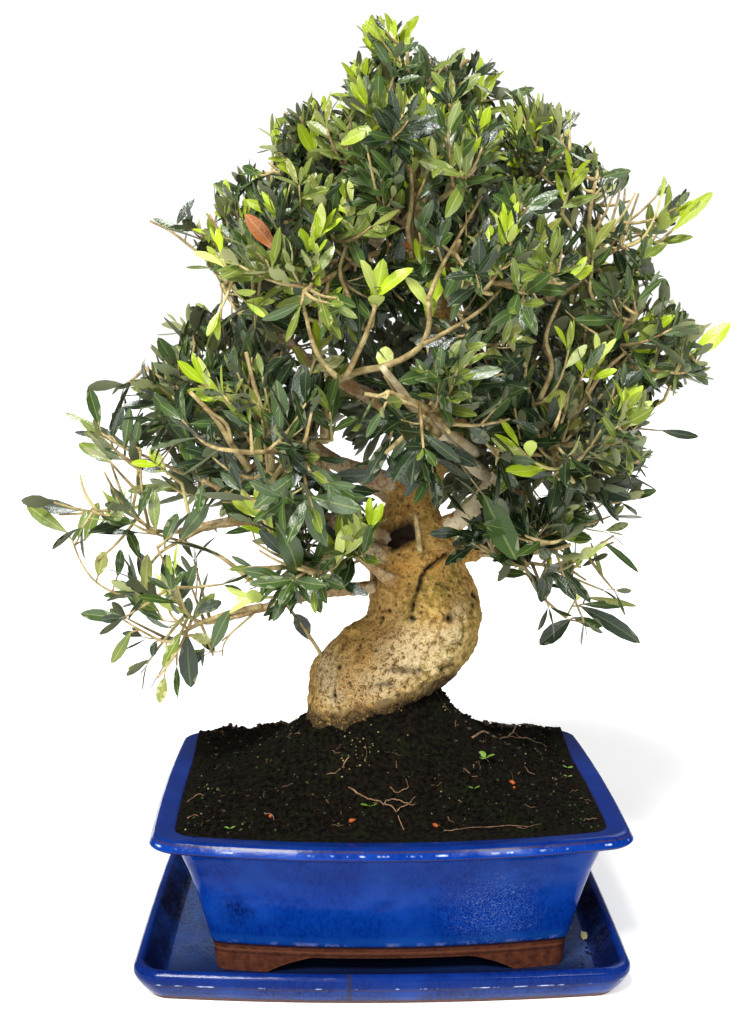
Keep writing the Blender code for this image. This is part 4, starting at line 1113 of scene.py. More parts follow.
def bough_path(name, steps=BOUGH_STEPS):
    """Points and radii of a bough. The radius falls evenly along its length."""
    _, thick, thin, knots = BOUGHS[name]
    points = smooth_curve(knots, steps)
    shares = np.linspace(0, 1, len(points))
    return [Vector(p) for p in points], [thick + (thin - thick) * share for share in shares]


def limb_mesh(name, grow=0.0):
    if name == "trunk":
        return trunk_mesh(grow)
    points, radii = bough_path(name)
    return tube_mesh(points, radii, BOUGH_SIDES, grow)


def cell_margin(point, owner):
    """How far a point lies inside its own mass's share of the crown, before the nearest neighbour's."""
    _, centre, half = MASSES[owner]
    centre = Vector(centre)
    weight = (sum(half) / 3) ** 2
    best = 1.0
    for name, (_, other, other_half) in MASSES.items():
        if name == owner:
            continue
        other = Vector(other)
        other_weight = (sum(other_half) / 3) ** 2
        apart = (other - centre).length
        near = ((point - other).length_squared - other_weight - (point - centre).length_squared + weight)
        best = min(best, near / (2 * apart))
    return best


def spread(point, owner):
    """Where a point lies in its mass: 0 in the middle and 1 on its outer surface."""
    _, centre, half = MASSES[owner]
    return math.sqrt(sum(((p - c) / h) ** 2 for p, c, h in zip(point, centre, half)))


def tree_of(mesh):
    return BVHTree.FromPolygons([Vector(p) for p in mesh[0]], mesh[1])


def touches(mesh, trees):
    own = tree_of(mesh)
    return any(own.overlap(tree) for tree in trees)


def bend(start, way, end, steps, lift=0.0):
    """A curve that leaves start along way and arrives at end."""
    reach = (end - start).length
    handle = start + way * reach * 0.45 + Vector((0, 0, lift * reach))
    return [start * (1 - t) ** 2 + handle * 2 * t * (1 - t) + end * t ** 2
            for t in (step / steps for step in range(steps + 1))]


def stem_starts():
    """For each mass, the point 0.3 mm clear of its bough's tip where its stem begins, and its way out."""
    starts = {}
    for bough in BOUGHS:
        carried = [name for name, (carrier, *_) in MASSES.items() if carrier == bough]
        points, radii = bough_path(bough)
        tip = points[-1]
        way = (points[-1] - points[-2]).normalized()
        side_way = way.orthogonal().normalized()
        other = way.cross(side_way)
        angles = {}
        for name in carried:
            to_mass = Vector(MASSES[name][1]) - tip
            angles[name] = math.atan2(to_mass.dot(other), to_mass.dot(side_way))
        order = sorted(carried, key=angles.get)
        for place, name in enumerate(order):
            angle = angles[order[0]] + 2 * math.pi * place / len(order)
            offset = 0.0 if len(order) == 1 else radii[-1] - 0.75 * STEM_RADIUS[0]
            out = side_way * math.cos(angle) + other * math.sin(angle)
            starts[name] = (tip + way * GAP + out * offset, way)
    return starts


def grow_stems(limb_trees):
    """The stem of every mass, from its bough's tip into its middle, clear of all limbs and other stems."""
    stems = {}
    stem_trees = []
    for name, (start, way) in stem_starts().items():
        rng = random.Random(name)
        centre = Vector(MASSES[name][1])
        for attempt in range(60):
            wander = 0.004 + 0.0006 * attempt
            end = start.lerp(centre, 0.80) + jitter(rng, wander)
            points = [start] + bend(start + way * 0.003, way, end, 3, lift=rng.uniform(-0.1, 0.1))
            stem = Line(points, np.linspace(*STEM_RADIUS, len(points)))
            grown = tube_mesh(points, stem.radii, 3, LIMB_CLEARANCE)
            if not touches(stem.mesh, limb_trees) and not touches(grown, stem_trees):
                break
        stems[name] = stem
        stem_trees.append(tree_of(grown))
    return stems


def spray_mesh(root, way, face_way, length):
    """The space of a spray: the source's leaf of eight faces, with its upper side towards face_way."""
    across = way.cross(face_way).normalized()
    upper = across.cross(way).normalized()
    widest = root + way * length * SPRAY_WIDEST
    half = across * length * SPRAY_WIDTH / 2
    thick = upper * SPRAY_THICKNESS / 2
    points = [root, widest - half, widest + half, root + way * length, widest + thick, widest - thick]
    faces = [(0, 2, 4), (2, 3, 4), (3, 1, 4), (1, 0, 4), (2, 0, 5), (3, 2, 5), (1, 3, 5), (0, 1, 5)]
    return points, faces


class Line:
    """A stem or twig: its three-sided tube, and the places on its flat faces where others can leave it."""

    def __init__(self, points, radii):
        self.points = points
        self.radii = radii
        self.frames = tube_frames(points)
        self.mesh = tube_mesh(points, radii, 3)

    def place(self, share, side):
        """A point on the axis, the way along and the way out through one face, and the radius there."""
        at = share * (len(self.points) - 1)
        first = min(int(at), len(self.points) - 2)
        _, side_way, other = self.frames[first]
        angle = math.pi / 3 + side * 2 * math.pi / 3
        out = side_way * math.cos(angle) + other * math.sin(angle)
        point = self.points[first].lerp(self.points[first + 1], at - first)
        way = (self.points[first + 1] - self.points[first]).normalized()
        out = (out - way * out.dot(way)).normalized()
        radius = self.radii[first] + (self.radii[first + 1] - self.radii[first]) * (at - first)
        return point, way, out, radius


class Mass:
    """The twigs and sprays of one mass, grown by the source's seeded rule inside its own space."""

    def __init__(self, name, stem, obstacles):
        self.name = name
        self.obstacles = obstacles
        self.rng = random.Random(f"{name}_0")
        self.centre = Vector(MASSES[name][1])
        self.half = MASSES[name][2]
        self.lines = [stem]
        self.trees = [tree_of(stem.mesh)]
        self.marks = []
        self.sprays = []
        self.misses = 0

    def clear(self, mesh, carrier):
        """True where a piece keeps to the mass's space and touches no limb and no piece but its carrier."""
        for point in mesh[0]:
            if spread(point, self.name) > OUTER_REACH or cell_margin(point, self.name) < CELL_MARGIN:
                return False
        tree = tree_of(mesh)
        if any(tree.overlap(other) for other in self.obstacles):
            return False
        return not any(tree.overlap(other) for index, other in enumerate(self.trees) if index != carrier)

    def targets(self):
        """Ends of the twigs, spread evenly through the mass."""
        low, high = TWIG_REACH
        options = []
        while len(options) < 200:
            way = random_way(self.rng)
            share = self.rng.uniform(low, high)
            point = self.centre + Vector([w * h * share for w, h in zip(way, self.half)])
            if cell_margin(point, self.name) > 0.004:
                options.append(point)
        found = [self.lines[0].points[-1]]
        while len(found) <= TWIGS:
            found.append(max(options, key=lambda p: min((p - q).length for q in found)))
        return found[1:]

    def grow_twigs(self):
        stem = self.lines[0]
        for target in self.targets():
            options = []
            for share in TWIG_PLACES:
                for side in range(3):
                    point, _, out, _ = stem.place(share, side)
                    options.append(((target - point).normalized().dot(out), point))
            for _, point in sorted(options, key=lambda option: -option[0]):
                line = Line([point, target], TWIG_RADIUS)
                if self.clear(line.mesh, 0):
                    self.lines.append(line)
                    self.trees.append(tree_of(line.mesh))
                    break

    def candidate(self):
        """A spray at a random place: its worth by how free it stands, its mesh, and what it leaves from."""
        carrier = self.rng.randrange(len(self.lines) + 1) % len(self.lines)
        line = self.lines[carrier]
        length = self.rng.uniform(*SPRAY_LENGTH) * (1 - 0.012 * self.misses)
        share = 1.0
        if self.rng.random() < TIP_SHARE:
            way = (line.points[-1] - line.points[-2]).normalized()
            root = line.points[-1] - way * TIP_SINK
            way = (way + jitter(self.rng, 0.12)).normalized()
        else:
            low = STEM_SPRAYS_FROM if carrier == 0 else TWIG_SPRAYS_FROM
            share = self.rng.uniform(low, 0.96)
            point, along, out, radius = line.place(share, self.rng.randrange(3))
            root = point - out * radius * ROOT_SINK
            turn = Matrix.Rotation(self.rng.uniform(-0.25, 0.25), 3, along)
            lean = math.radians(self.rng.uniform(*SPRAY_LEAN))
            way = turn @ (out * math.sin(lean) + along * math.cos(lean))
        outward = (root + way * length * 0.5 - self.centre).normalized()
        loose = jitter(self.rng, 0.4)
        mesh = spray_mesh(root, way, (outward * 0.6 + Vector((0, 0, 0.7)) + loose).normalized(), length)
        marks = [root + way * length * part for part in (0.45, 0.7, 1.0)]
        free = min([(a - b).length for a in marks for b in self.marks], default=1.0)
        worth = free + 0.012 * spread(marks[-1], self.name)
        return worth, mesh, carrier, marks, (carrier, share, root, way, length)

    def grow_sprays(self):
        while len(self.sprays) < SPRAYS and self.misses < MOST_MISSES:
            options = sorted((self.candidate() for _ in range(CANDIDATES)), key=lambda option: -option[0])
            for _, mesh, carrier, marks, spray in options:
                if self.clear(mesh, carrier):
                    self.trees.append(tree_of(mesh))
                    self.marks += marks
                    self.sprays.append(spray)
                    break
            else:
                self.misses += 1


def grow_masses():
    """Every mass as the source grows it."""
    limbs = ["trunk", *BOUGHS]
    stems = grow_stems([tree_of(limb_mesh(name, GAP / 2)) for name in limbs])
    grown_limbs = [tree_of(limb_mesh(name, LIMB_CLEARANCE)) for name in limbs]
    grown_stems = {name: tree_of(tube_mesh(stem.points, stem.radii, 3, LIMB_CLEARANCE))
                   for name, stem in stems.items()}
    masses = []
    for name, stem in stems.items():
        others = [tree for other, tree in grown_stems.items() if other != name]
        mass = Mass(name, stem, grown_limbs + others)
        mass.grow_twigs()
        mass.grow_sprays()
        masses.append(mass)
    return masses


# Leaves

# Along a leaf from its stalk to its tip: how far, and how wide for its greatest width
LEAF_STATIONS = ((0.05, 0.11), (0.24, 0.60), (0.48, 0.98), (0.72, 0.92), (0.92, 0.46))
STATION_POINTS = 5

# The midrib's width for the leaf's, the keel's depth for the leaf's length, and the most leaves of one piece
RIB_SHARE = 0.075
LEAF_KEEL = 0.016
MOST_LEAVES = 3000

UP = Vector((0, 0, 1))


class Crown:
    """The fine wood and the leaves of the whole crown, kept by kind until their meshes are made."""

    def __init__(self, limbs):
        self.rows = {kind: [] for kind in LEAF_KINDS}
        self.wood = {"old": Batch(), "young": Batch(), "pale": Batch()}
        self.limbs = limbs
        self.knots = []

    def add_wood(self, points, radii, sides, young=False, pale=False):
        self.wood["pale" if pale else "young" if young else "old"].add(*tube_arrays(points, radii, sides))
        self.knots += [Vector(p) for p in points[1:]]

    def nearest(self, place):
        """The point of a limb or of the crown's wood that a shoot up to a place can leave from."""
        knot = min(self.knots, key=lambda knot: (knot - place).length + (0.05 if knot.z > place.z else 0))
        limb = self.limbs.find_nearest(place)[0]
        limb += (limb - place).normalized() * 0.0025
        return limb if (limb - place).length < 1.3 * (knot - place).length else knot

    def add_leaf(self, rng, kind, root, way, face_way, length, wide=None):
        """A leaf with its upper side towards face_way, unless a limb or an opening is in its way."""
        marks = [root + way * length * share for share in (0.25, 0.5, 0.75, 1.0)]
        if any(self.limbs.find_nearest(mark)[3] < LEAF_CLEARANCE for mark in marks[1:]):
            return False
        if wide is None and any(in_sky(mark) or in_clearing(mark) for mark in marks):
            return False
        across = way.cross(face_way)
        if across.length < 1e-6:
            across = way.orthogonal()
        across.normalize()
        upper = across.cross(way).normalized()
        wide = wide or rng.uniform(*LEAF_WIDTH)
        bends = (rng.uniform(*FOLD), rng.gauss(*CURL), rng.gauss(*TWIST), rng.gauss(*SWAY))
        self.rows[kind].append((*root, *way, *across, *upper, length, wide * length, *bends))
        return True

    def leaf_pieces(self, kind, materials):
        rows = np.array(self.rows[kind])
        count = math.ceil(len(rows) / MOST_LEAVES)
        for number, share in enumerate(np.array_split(rows, count)):
            name = f"leaves_{kind}_{number + 1}" if count > 1 else f"leaves_{kind}"
            finish(leaf_piece(name, share, materials), list(MASSES))


def leaf_piece(name, rows, materials):
    """One mesh of many leaves. Each row has the root, the three ways, the sizes and the bends of a leaf."""
    template, faces, slots = leaf_template()
    t, side, deep = (template[None, :, i] for i in range(3))
    root, way, across, upper = (rows[:, None, i:i + 3] for i in (0, 3, 6, 9))
    length, wide, fold, curl, twist, sway = (rows[:, i:i + 1] for i in range(12, 18))
    x = side * wide / 2
    lift = fold * np.abs(x) * (1 - 0.6 * np.abs(side) ** 2) - deep * LEAF_KEEL * length * (1 - 0.5 * t)
    turn = twist * t
    x, lift = x * np.cos(turn) - lift * np.sin(turn), x * np.sin(turn) + lift * np.cos(turn)
    x = x + sway * length * t ** 2
    along = length * t * (1 - (curl * t) ** 2 / 6)
    lift = lift - curl * length * t ** 2 / 2
    points = root + way * along[..., None] + across * x[..., None] + upper * lift[..., None]
    count, corners = points.shape[:2]
    starts = np.arange(count)[:, None, None] * corners
    return add_piece(name, points.reshape(-1, 3), (faces[None] + starts).reshape(-1, 3), materials,
                     slots=np.tile(slots, count), sharp=60)


def in_sky(point):
    """True where a point, seen from the front, falls outside the crown's edge or on one of its openings."""
    x, y = pixel_of(point)
    inside = False
    for (x1, y1), (x2, y2) in zip(EDGE, (*EDGE[1:], EDGE[0])):
        if (y1 > y) != (y2 > y) and x < x1 + (x2 - x1) * (y - y1) / (y2 - y1):
            inside = not inside
    return not inside or any((x - a) ** 2 + (y - b) ** 2 < radius ** 2 for a, b, radius in SKY)


def clearing_marks():
    """Discs of the frame in front of the limbs that show: the middle, the radius and the limb's depth."""
    marks = list(CLEARINGS)
    for places, depths, _ in SHOWN_LIMBS + PALE_LIMBS:
        knots = [(*place, depth) for place, depth in zip(places, np.linspace(*depths, len(places)))]
        marks += [(x, y, LIMB_MARGIN, depth) for x, y, depth in smooth_curve(knots, 4)]
    return np.array(marks)


def in_clearing(point):
    """True where a point would hide a limb that shows from the front."""
    x, y = pixel_of(point)
    away = (CLEAR[:, 0] - x) ** 2 + (CLEAR[:, 1] - y) ** 2
    return bool(((away < CLEAR[:, 2] ** 2) & (point.y < CLEAR[:, 3] - LIMB_CLEARANCE)).any())


def leaf_template():
    """Where each point of a leaf lies, and its triangles with their material slots.

    A point is (how far along, how far across in half widths, how deep under the upper side in keels).
    Each station has its left edge, both sides of the rib, its right edge and its keel below.
    """
    points = []
    for along, wide in LEAF_STATIONS:
        points += [(along, -wide, 0), (along, -RIB_SHARE, 0), (along, RIB_SHARE, 0), (along, wide, 0),
                   (along, 0, 1)]
    root = len(points)
    points += [(0, 0, 0.5), (1, 0, 0.0)]
    ring_slots = (0, 1, 0, 2, 2)
    faces = []
    slots = []
    for station in range(len(LEAF_STATIONS) - 1):
        for i, slot in enumerate(ring_slots):
            a = station * STATION_POINTS + i
            b = station * STATION_POINTS + (i + 1) % STATION_POINTS
            faces += [(a, b, b + STATION_POINTS), (a, b + STATION_POINTS, a + STATION_POINTS)]
            slots += [slot, slot]
    last = (len(LEAF_STATIONS) - 1) * STATION_POINTS
    for i, slot in enumerate(ring_slots):
        j = (i + 1) % STATION_POINTS
        faces += [(j, i, root), (last + i, last + j, root + 1)]
        slots += [slot, slot]
    return np.array(points), np.array(faces), np.array(slots)


def path_at(points, share):
    """The point at a share of a line's steps, and the way along it there."""
    at = min(max(share, 0.0), 1.0) * (len(points) - 1)
    first = min(int(at), len(points) - 2)
    way = (points[first + 1] - points[first]).normalized()
    return points[first].lerp(points[first + 1], at - first), way


def kind_of_spray(rng, tip):
    """Sprays high up and on the outside are more often young; those deep inside are darkest, as painted
    shade.
    """
    away = math.sqrt(sum(((t - m) / h) ** 2 for t, m, h in zip(tip, CROWN_MIDDLE, CROWN_HALF)))
    if rng.random() < INNER_SHADE * (1.0 - away):
        return "deep"
    bright = BRIGHT + BRIGHT_TOP * clamp((tip.z - BRIGHT_FROM) / BRIGHT_OVER)
    bright += BRIGHT_FRONT * (tip.y < FRONT_DEPTH)
    draw = rng.random() - bright
    if tip.z < LOW_HEIGHT:
        draw *= LOW_LEFT_SHARE if tip.x < LOW_LEFT_PLACE else LOW_SHARE
    kind = next(kind for kind, share in SHOOT_KINDS if draw < share)
    return "young" if kind == "spring" and rng.random() < YOUNG_SHARE else kind


def kind_of_leaf(rng, kind, share):
    """The kind of one leaf at its share of a shoot: paler towards the tip."""
    if kind == "fresh":
        return rng.choice(("fresh", "young"))
    if kind == "young":
        return "spring" if share < 0.4 else rng.choice(("young", "young", "fresh"))
    if kind == "spring":
        return rng.choice(("mid", "spring")) if share < 0.6 else rng.choice(("spring", "spring", "young"))
    paler = {"deep": "dark", "dark": "mid", "mid": "olive", "olive": "spring"}
    if share >= 1.0 and rng.random() < PALER_CHANCE:
        return paler.get(kind, kind)
    return kind if rng.random() < OWN_CHANCE else rng.choice(("dark", "deep", "dark", "mid"))


def grow_leaf(rng, crown, kind, point, axis, out, share, base):
    """One leaf of a shoot. Near the shoot's tip leaves are smaller and point more along it."""
    lean = LEAN - (LEAN_YOUNG if kind in YOUNG_KINDS else 0) - LEAN_ALONG * min(share, 1.0)
    lean = math.radians(lean - LEAN_PAST * max(0.0, share - 1.0) + rng.gauss(0, LEAN_SPREAD))
    way = (out * math.sin(lean) + axis * math.cos(lean) + UP * rng.uniform(-0.06, 0.20)).normalized()
    outward = Vector((point.x - CROWN_MIDDLE[0], point.y - CROWN_MIDDLE[1], 0)).normalized()
    loose = jitter(rng, 0.35)
    face_way = axis * 0.55 + UP * 0.30 + outward * 0.60 + loose
    size = END_SIZE + MIDDLE_SIZE * math.sin(math.pi * min(share, 1.0))
    length = base * size * rng.uniform(0.86, 1.12)
    crown.add_leaf(rng, kind_of_leaf(rng, kind, share), point + out * 0.0006, way, face_way, length)


def dress_shoot(rng, crown, points, length, base, kind, full, branching=True):
    """Pairs of leaves along a shoot, each turned across the one before, and short shoots beside some."""
    angle = rng.uniform(0, math.pi)
    along = FIRST_NODE if branching else 0.5 * FIRST_NODE
    while along < length:
        share = along / length
        point, axis = path_at(points, share)
        out = Matrix.Rotation(angle, 3, axis) @ axis.orthogonal().normalized()
        for side in (1, -1):
            if rng.random() < full * (1 - MISSING_LEAVES * (1.5 - share)):
                grow_leaf(rng, crown, kind, point, axis, out * side, share, base)
        if branching and share < SIDE_UNTIL and rng.random() < SIDE_SHOOTS * full:
            grow_side_shoot(rng, crown, point, axis, out.cross(axis), base, kind, full)
        angle += math.pi / 2 + rng.gauss(0, 0.2)
        along += rng.uniform(*NODE_STEP) * leaf_size(point.z)
    point, axis = path_at(points, 1.0)
    out = Matrix.Rotation(angle, 3, axis) @ axis.orthogonal().normalized()
    for side in (1, -1):
        grow_leaf(rng, crown, kind, point, axis, out * side, END_PAIR[0], base * END_PAIR[1])
    if rng.random() < END_LEAF_CHANCE:
        grow_leaf(rng, crown, kind, point, axis, out.cross(axis), END_LEAF[0], base * END_LEAF[1])


def grow_side_shoot(rng, crown, point, axis, out, base, kind, full):
    length = rng.uniform(*SIDE_LENGTH)
    way = (out * rng.choice((1, -1)) * 0.75 + axis * 0.65 + UP * 0.15).normalized()
    end = point + (way + UP * 0.25).normalized() * length
    if in_sky(end) or in_clearing(end) or end.z > CROWN_TOP - TIP_LEAF_REACH:
        return
    points = bend(point, way, end, 3)
    crown.add_wood(points, np.linspace(*SIDE_WOOD, len(points)), 4, kind in YOUNG_KINDS)
    dress_shoot(rng, crown, points, length, base * SIDE_LEAF, kind, full, branching=False)


def leaf_size(height):
    """Leaves get smaller towards the crown's top: their size there against that of the lowest ones."""
    return 1.0 - SMALLER * clamp((height - SMALLER_FROM) / SMALLER_OVER)


def grow_shoot(rng, crown, root, tip, kind, upturn, full):
    """A leafy shoot that leaves its root towards the tip, turns up and ends inside the crown's edge."""
    span = tip - root
    way = span.normalized()
    if kind in YOUNG_KINDS:
        upturn = max(upturn, YOUNG_UPTURN)
    loose = jitter(rng, 0.10)
    aim = (way + loose + UP * upturn * rng.uniform(0.5, 1.3)).normalized()
    base = rng.uniform(*LEAF_LENGTH) * leaf_size(tip.z)
    if in_sky(root):
        return
    for share in LENGTHS_TRIED:
        length = max(LEAST_LENGTH, span.length * share - TIP_LEAF_REACH)
        end = root + aim * length
        tip = end + aim * 0.6 * base
        if not in_sky(tip) and not in_clearing(tip) and not in_clearing(end) and tip.z < CROWN_TOP:
            break
    else:
        return
    points = bend(root, (way - UP * 0.3 * upturn).normalized(), end, 6)
    if any(crown.limbs.find_nearest(point)[3] < LEAF_CLEARANCE or in_clearing(point) for point in points[3:]):
        return
    crown.add_wood(points, np.linspace(*SHOOT_WOOD, len(points)), 5, kind in YOUNG_KINDS)
    dress_shoot(rng, crown, points, length, base, kind, full)


def crown_lines(mass, rng):
    """The mass's stem and twigs as smooth bent paths with their radii, the stem first."""
    stem = mass.lines[0]
    way = (stem.points[1] - stem.points[0]).normalized()
    paths = [[stem.points[0] - way * 0.006, stem.points[0].copy()]]
    paths[0] += [Vector(p) for p in smooth_curve(stem.points[1:], 3)]
    radii = [np.linspace(*STEM_WOOD, len(paths[0]))]
    for line in mass.lines[1:]:
        start, end = line.points
        span = end - start
        across = span.cross(Vector([rng.gauss(0, 1) for _ in range(3)])).normalized()
        bow = across * span.length * rng.uniform(0.02, 0.07) + UP * span.length * rng.uniform(-0.04, 0.01)
        shares = [step / TWIG_STEPS for step in range(TWIG_STEPS + 1)]
        paths.append([start + span * share + bow * math.sin(math.pi * share) for share in shares])
        radii.append(np.linspace(*TWIG_WOOD, TWIG_STEPS + 1))
    return paths, radii


def further_tips(mass, rng, count):
    """Places in and between the masses, some way out from this one's middle, that further shoots grow to."""
    low, high = FURTHER_REACH
    tips = []
    for _ in range(count):
        way = random_way(rng)
        share = rng.uniform(low, high)
        tip = mass.centre + Vector([w * h * share for w, h in zip(way, mass.half)])
        if DEPTH_REACH[0] < tip.y < DEPTH_REACH[1]:
            tips.append(tip)
    return tips


def dress_mass(crown, mass):
    """Grows each spray of a mass as a shoot with leaves, and further shoots from its twigs."""
    rng = random.Random("fine_" + mass.name)
    full = FULLNESS.get(mass.name, 1.0)
    paths, radii = crown_lines(mass, rng)
    grown = []
    for path, thick in zip(paths, radii):
        thick = thick * (0.6 if full < 0.5 else 1.0)
        seen = next((i for i, point in enumerate(path) if i > 2 and in_sky(point)), len(path))
        if seen < len(path):
            thick = np.linspace(thick[0], SHOOT_WOOD[1], seen)
        crown.add_wood(path[:seen], thick[:seen], 8)
        grown.append(path[:seen])
    upturn = UPTURNS.get(mass.name, UPTURN)
    for carrier, share, root, way, length in mass.sprays:
        path = paths[carrier][1:] if carrier == 0 else paths[carrier]
        start, _ = path_at(path, share)
        if min((start - point).length for point in grown[carrier]) > (path[1] - path[0]).length:
            continue
        tip = root + way * length
        kind = kind_of_spray(rng, tip)
        if rng.random() < 0.4 + 0.6 * full:
            grow_shoot(rng, crown, start, tip, kind, upturn, full)
    more = FURTHER_AT_TOP if mass.centre.z > SMALLER_FROM + SMALLER_OVER / 2 else 1.0
    for tip in further_tips(mass, rng, round(FURTHER_SHOOTS * more * full ** 2)):
        nearest = min((point for path in grown for point in path[2:]), key=lambda point: (point - tip).length)
        grow_shoot(rng, crown, nearest, tip, kind_of_spray(rng, tip), upturn, full)


def grow_front_shoots(crown):
    """The shoots that stand out: each a twig from its foot to its end, with pairs of leaves near the end."""
    rng = random.Random("front")
    for foot, end, depth, kind, length, pairs in SHOOTS:
        foot, end = at_pixel(*foot, depth + 0.012), at_pixel(*end, depth)
        start = crown.nearest(foot)
        points = bend(start, (foot - start).normalized(), foot, 4)[:-1]
        points += bend(foot, (end - foot).normalized(), end, 6)
        radii = np.interp(np.arange(len(points)), (0, 4, len(points) - 1), FRONT_WOOD)
        crown.add_wood(points, radii, 7, young=True)
        reach = (end - foot).length
        angle = rng.uniform(-0.4, 0.4)
        for pair in range(pairs):
            back = pair * PAIR_STEP
            point, axis = path_at(points, 1.0 - 0.6 * min(0.9, back / max(reach, 0.01)))
            across = axis.cross(FORWARD).normalized()
            out = Matrix.Rotation(angle, 3, axis) @ across
            for side in (1, -1):
                lean = math.radians(20 + 13 * pair + rng.gauss(0, 5))
                way = (out * side * math.sin(lean) + axis * math.cos(lean) - FORWARD * 0.1).normalized()
                face_way = axis * 0.5 - out * side * 0.6 - FORWARD * 0.6
                crown.add_leaf(rng, kind_of_leaf(rng, kind, 1.0 - 0.25 * pair), point, way, face_way,
                               length * rng.uniform(0.85, 1.05), rng.uniform(0.30, 0.38))
            angle += math.pi / 2 + rng.gauss(0, 0.2)


def grow_lone_leaves(crown):
    """The leaves and bare twigs that stand out, each leaf on a thin twig from the nearest wood."""
    rng = random.Random("lone")
    for limb in BARE_TWIGS + SHOWN_LIMBS + PALE_LIMBS:
        places, depths, radii = limb
        depths = np.linspace(*depths, len(places))
        knots = [at_pixel(*place, depth) for place, depth in zip(places, depths)]
        points = [Vector(p) for p in smooth_curve(knots, 4)]
        crown.add_wood(points, np.linspace(*radii, len(points)), 8, pale=limb in PALE_LIMBS)
    for root, tip, depth, wide, kind in LONE_LEAVES:
        root, tip = at_pixel(*root, depth), at_pixel(*tip, depth)
        start = crown.nearest(root)
        way = (tip - root).normalized()
        points = bend(start, ((root - start).normalized() + way * 0.2).normalized(), root + way * 0.0025, 5)
        crown.add_wood(points, np.linspace(*LONE_WOOD, len(points)), 5)
        face_way = Vector((0.15, -1.0, 0.45)) + jitter(rng, 0.3)
        if kind == "dark" and rng.random() < 0.5:
            kind = "deep"
        crown.add_leaf(rng, kind, root, way, face_way, (tip - root).length, wide)


def grow_filling_shoots(crown):
    """Further shoots where the crown would be bare from the sides."""
    rng = random.Random("filling")
    for middle, half, count in FILLED:
        for _ in range(count):
            tip = Vector([m + h * rng.uniform(-1, 1) for m, h in zip(middle, half)])
            start = crown.nearest(tip - UP * 0.020)
            grow_shoot(rng, crown, start, tip, kind_of_spray(rng, tip), UPTURN, 1.0)


CLEAR = clearing_marks()

# The crown's wood: the light and the deep colour of each kind
TWIG_KINDS = {
    "old": ((0.500, 0.400, 0.180), (0.240, 0.165, 0.062)),
    "young": ((0.500, 0.460, 0.190), (0.440, 0.330, 0.130)),
    "pale": ((0.700, 0.600, 0.400), (0.480, 0.370, 0.190)),
}


def build_crown(masses, limbs):
    crown = Crown(limbs)
    for mass in masses:
        dress_mass(crown, mass)
    grow_filling_shoots(crown)
    grow_front_shoots(crown)
    grow_lone_leaves(crown)
    for kind, colours in TWIG_KINDS.items():
        twigs = crown.wood[kind].piece("twigs_" + kind, twig_material(kind + "_twig", *colours))
        finish(twigs, list(MASSES))
    for kind, colours in LEAF_KINDS.items():
        crown.leaf_pieces(kind, leaf_materials(kind, colours))


def finish(piece, replaced=()):
    """The piece rides with the plant and stands for the nodes named, which it hides."""
    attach(piece, "root")
    if replaced:
        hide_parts(*replaced)


# Trunk and boughs

TRUNK_VOXEL = 0.00125
BARK_SIDES = 18

# Boughs: how much thinner the tips are than the source's, and their swellings along them as size and share
BOUGH_TAPER = 0.40
SWELLINGS = (0.016, 0.10)
RIPPLES = (0.005, 0.05)
THIN_ROOT = (0.016, 0.45)

# The flare where a bough leaves its limb: its reach, its size for the bough's, and how much of that it loses
COLLAR_REACH = 0.036
COLLAR_FLARE = 1.5
COLLAR_LOSS = 0.75

# Bark relief: the height and the size of its broad and middle parts, the height and both sizes of its ribs,
# the depth of its pores, and the stretch of the trunk over which the relief fades upwards
BARK_BROAD = (0.0020, 0.020)
BARK_MIDDLE = (0.0013, 0.0070)
BARK_RIBS = (0.0007, 0.0022, 0.006)
PORE_DEPTH = 0.0014
RELIEF_TOP = 0.46
RELIEF_FADE = 0.14

# Where the trunk's upper stretch begins, which is more rusty and mossy, and over which height it sets in
UPPER_FROM = 0.335
UPPER_OVER = 0.03

# The pale knot with its hole, as its middle and its half sizes across, in height and in depth
KNOT = (0.0564, -0.0304, 0.2545)
KNOT_HALF = (0.0100, 0.0160, 0.02)

# Pits: the place, the size and the depth
PITS = (
    ((0.0553, -0.0316, 0.2657), 0.0042, 0.0065), ((-0.0023, -0.0122, 0.2705), 0.0020, 0.0020),
    ((0.0016, -0.0172, 0.2633), 0.0022, 0.0018), ((0.0055, -0.0204, 0.2698), 0.0020, 0.0020),
    ((-0.0008, -0.0183, 0.2603), 0.0018, 0.0014), ((-0.0377, -0.0250, 0.2010), 0.0030, 0.0030),
    ((-0.0329, -0.0255, 0.2242), 0.0022, 0.0014), ((-0.0551, -0.0067, 0.1925), 0.0030, 0.0020),
    ((0.0243, -0.0316, 0.2665), 0.0034, 0.0022), ((0.0768, -0.0035, 0.2794), 0.0040, 0.0026),
    ((0.0745, -0.0121, 0.2729), 0.0026, 0.0016), ((0.0489, -0.0276, 0.2230), 0.0030, 0.0014),
)

# The rough hollow of an old cut: the points that it runs through, its width and its depth
HOLLOW = (
    (-0.0060, -0.0040, 0.3200), (0.0040, -0.0080, 0.3240), (0.0130, -0.0120, 0.3290),
    (0.0200, -0.0140, 0.3330),
)
HOLLOW_SIZE = (0.0110, 0.0042)

# Bumps: the place, the size and the height
BUMPS = (
    ((-0.0265, -0.0024, 0.2476), 0.0046, 0.0030), ((-0.0208, -0.0084, 0.2506), 0.0040, 0.0026),
    ((-0.0480, 0.0000, 0.2330), 0.0050, 0.0020), ((0.0330, -0.0240, 0.3090), 0.0100, 0.0020),
)

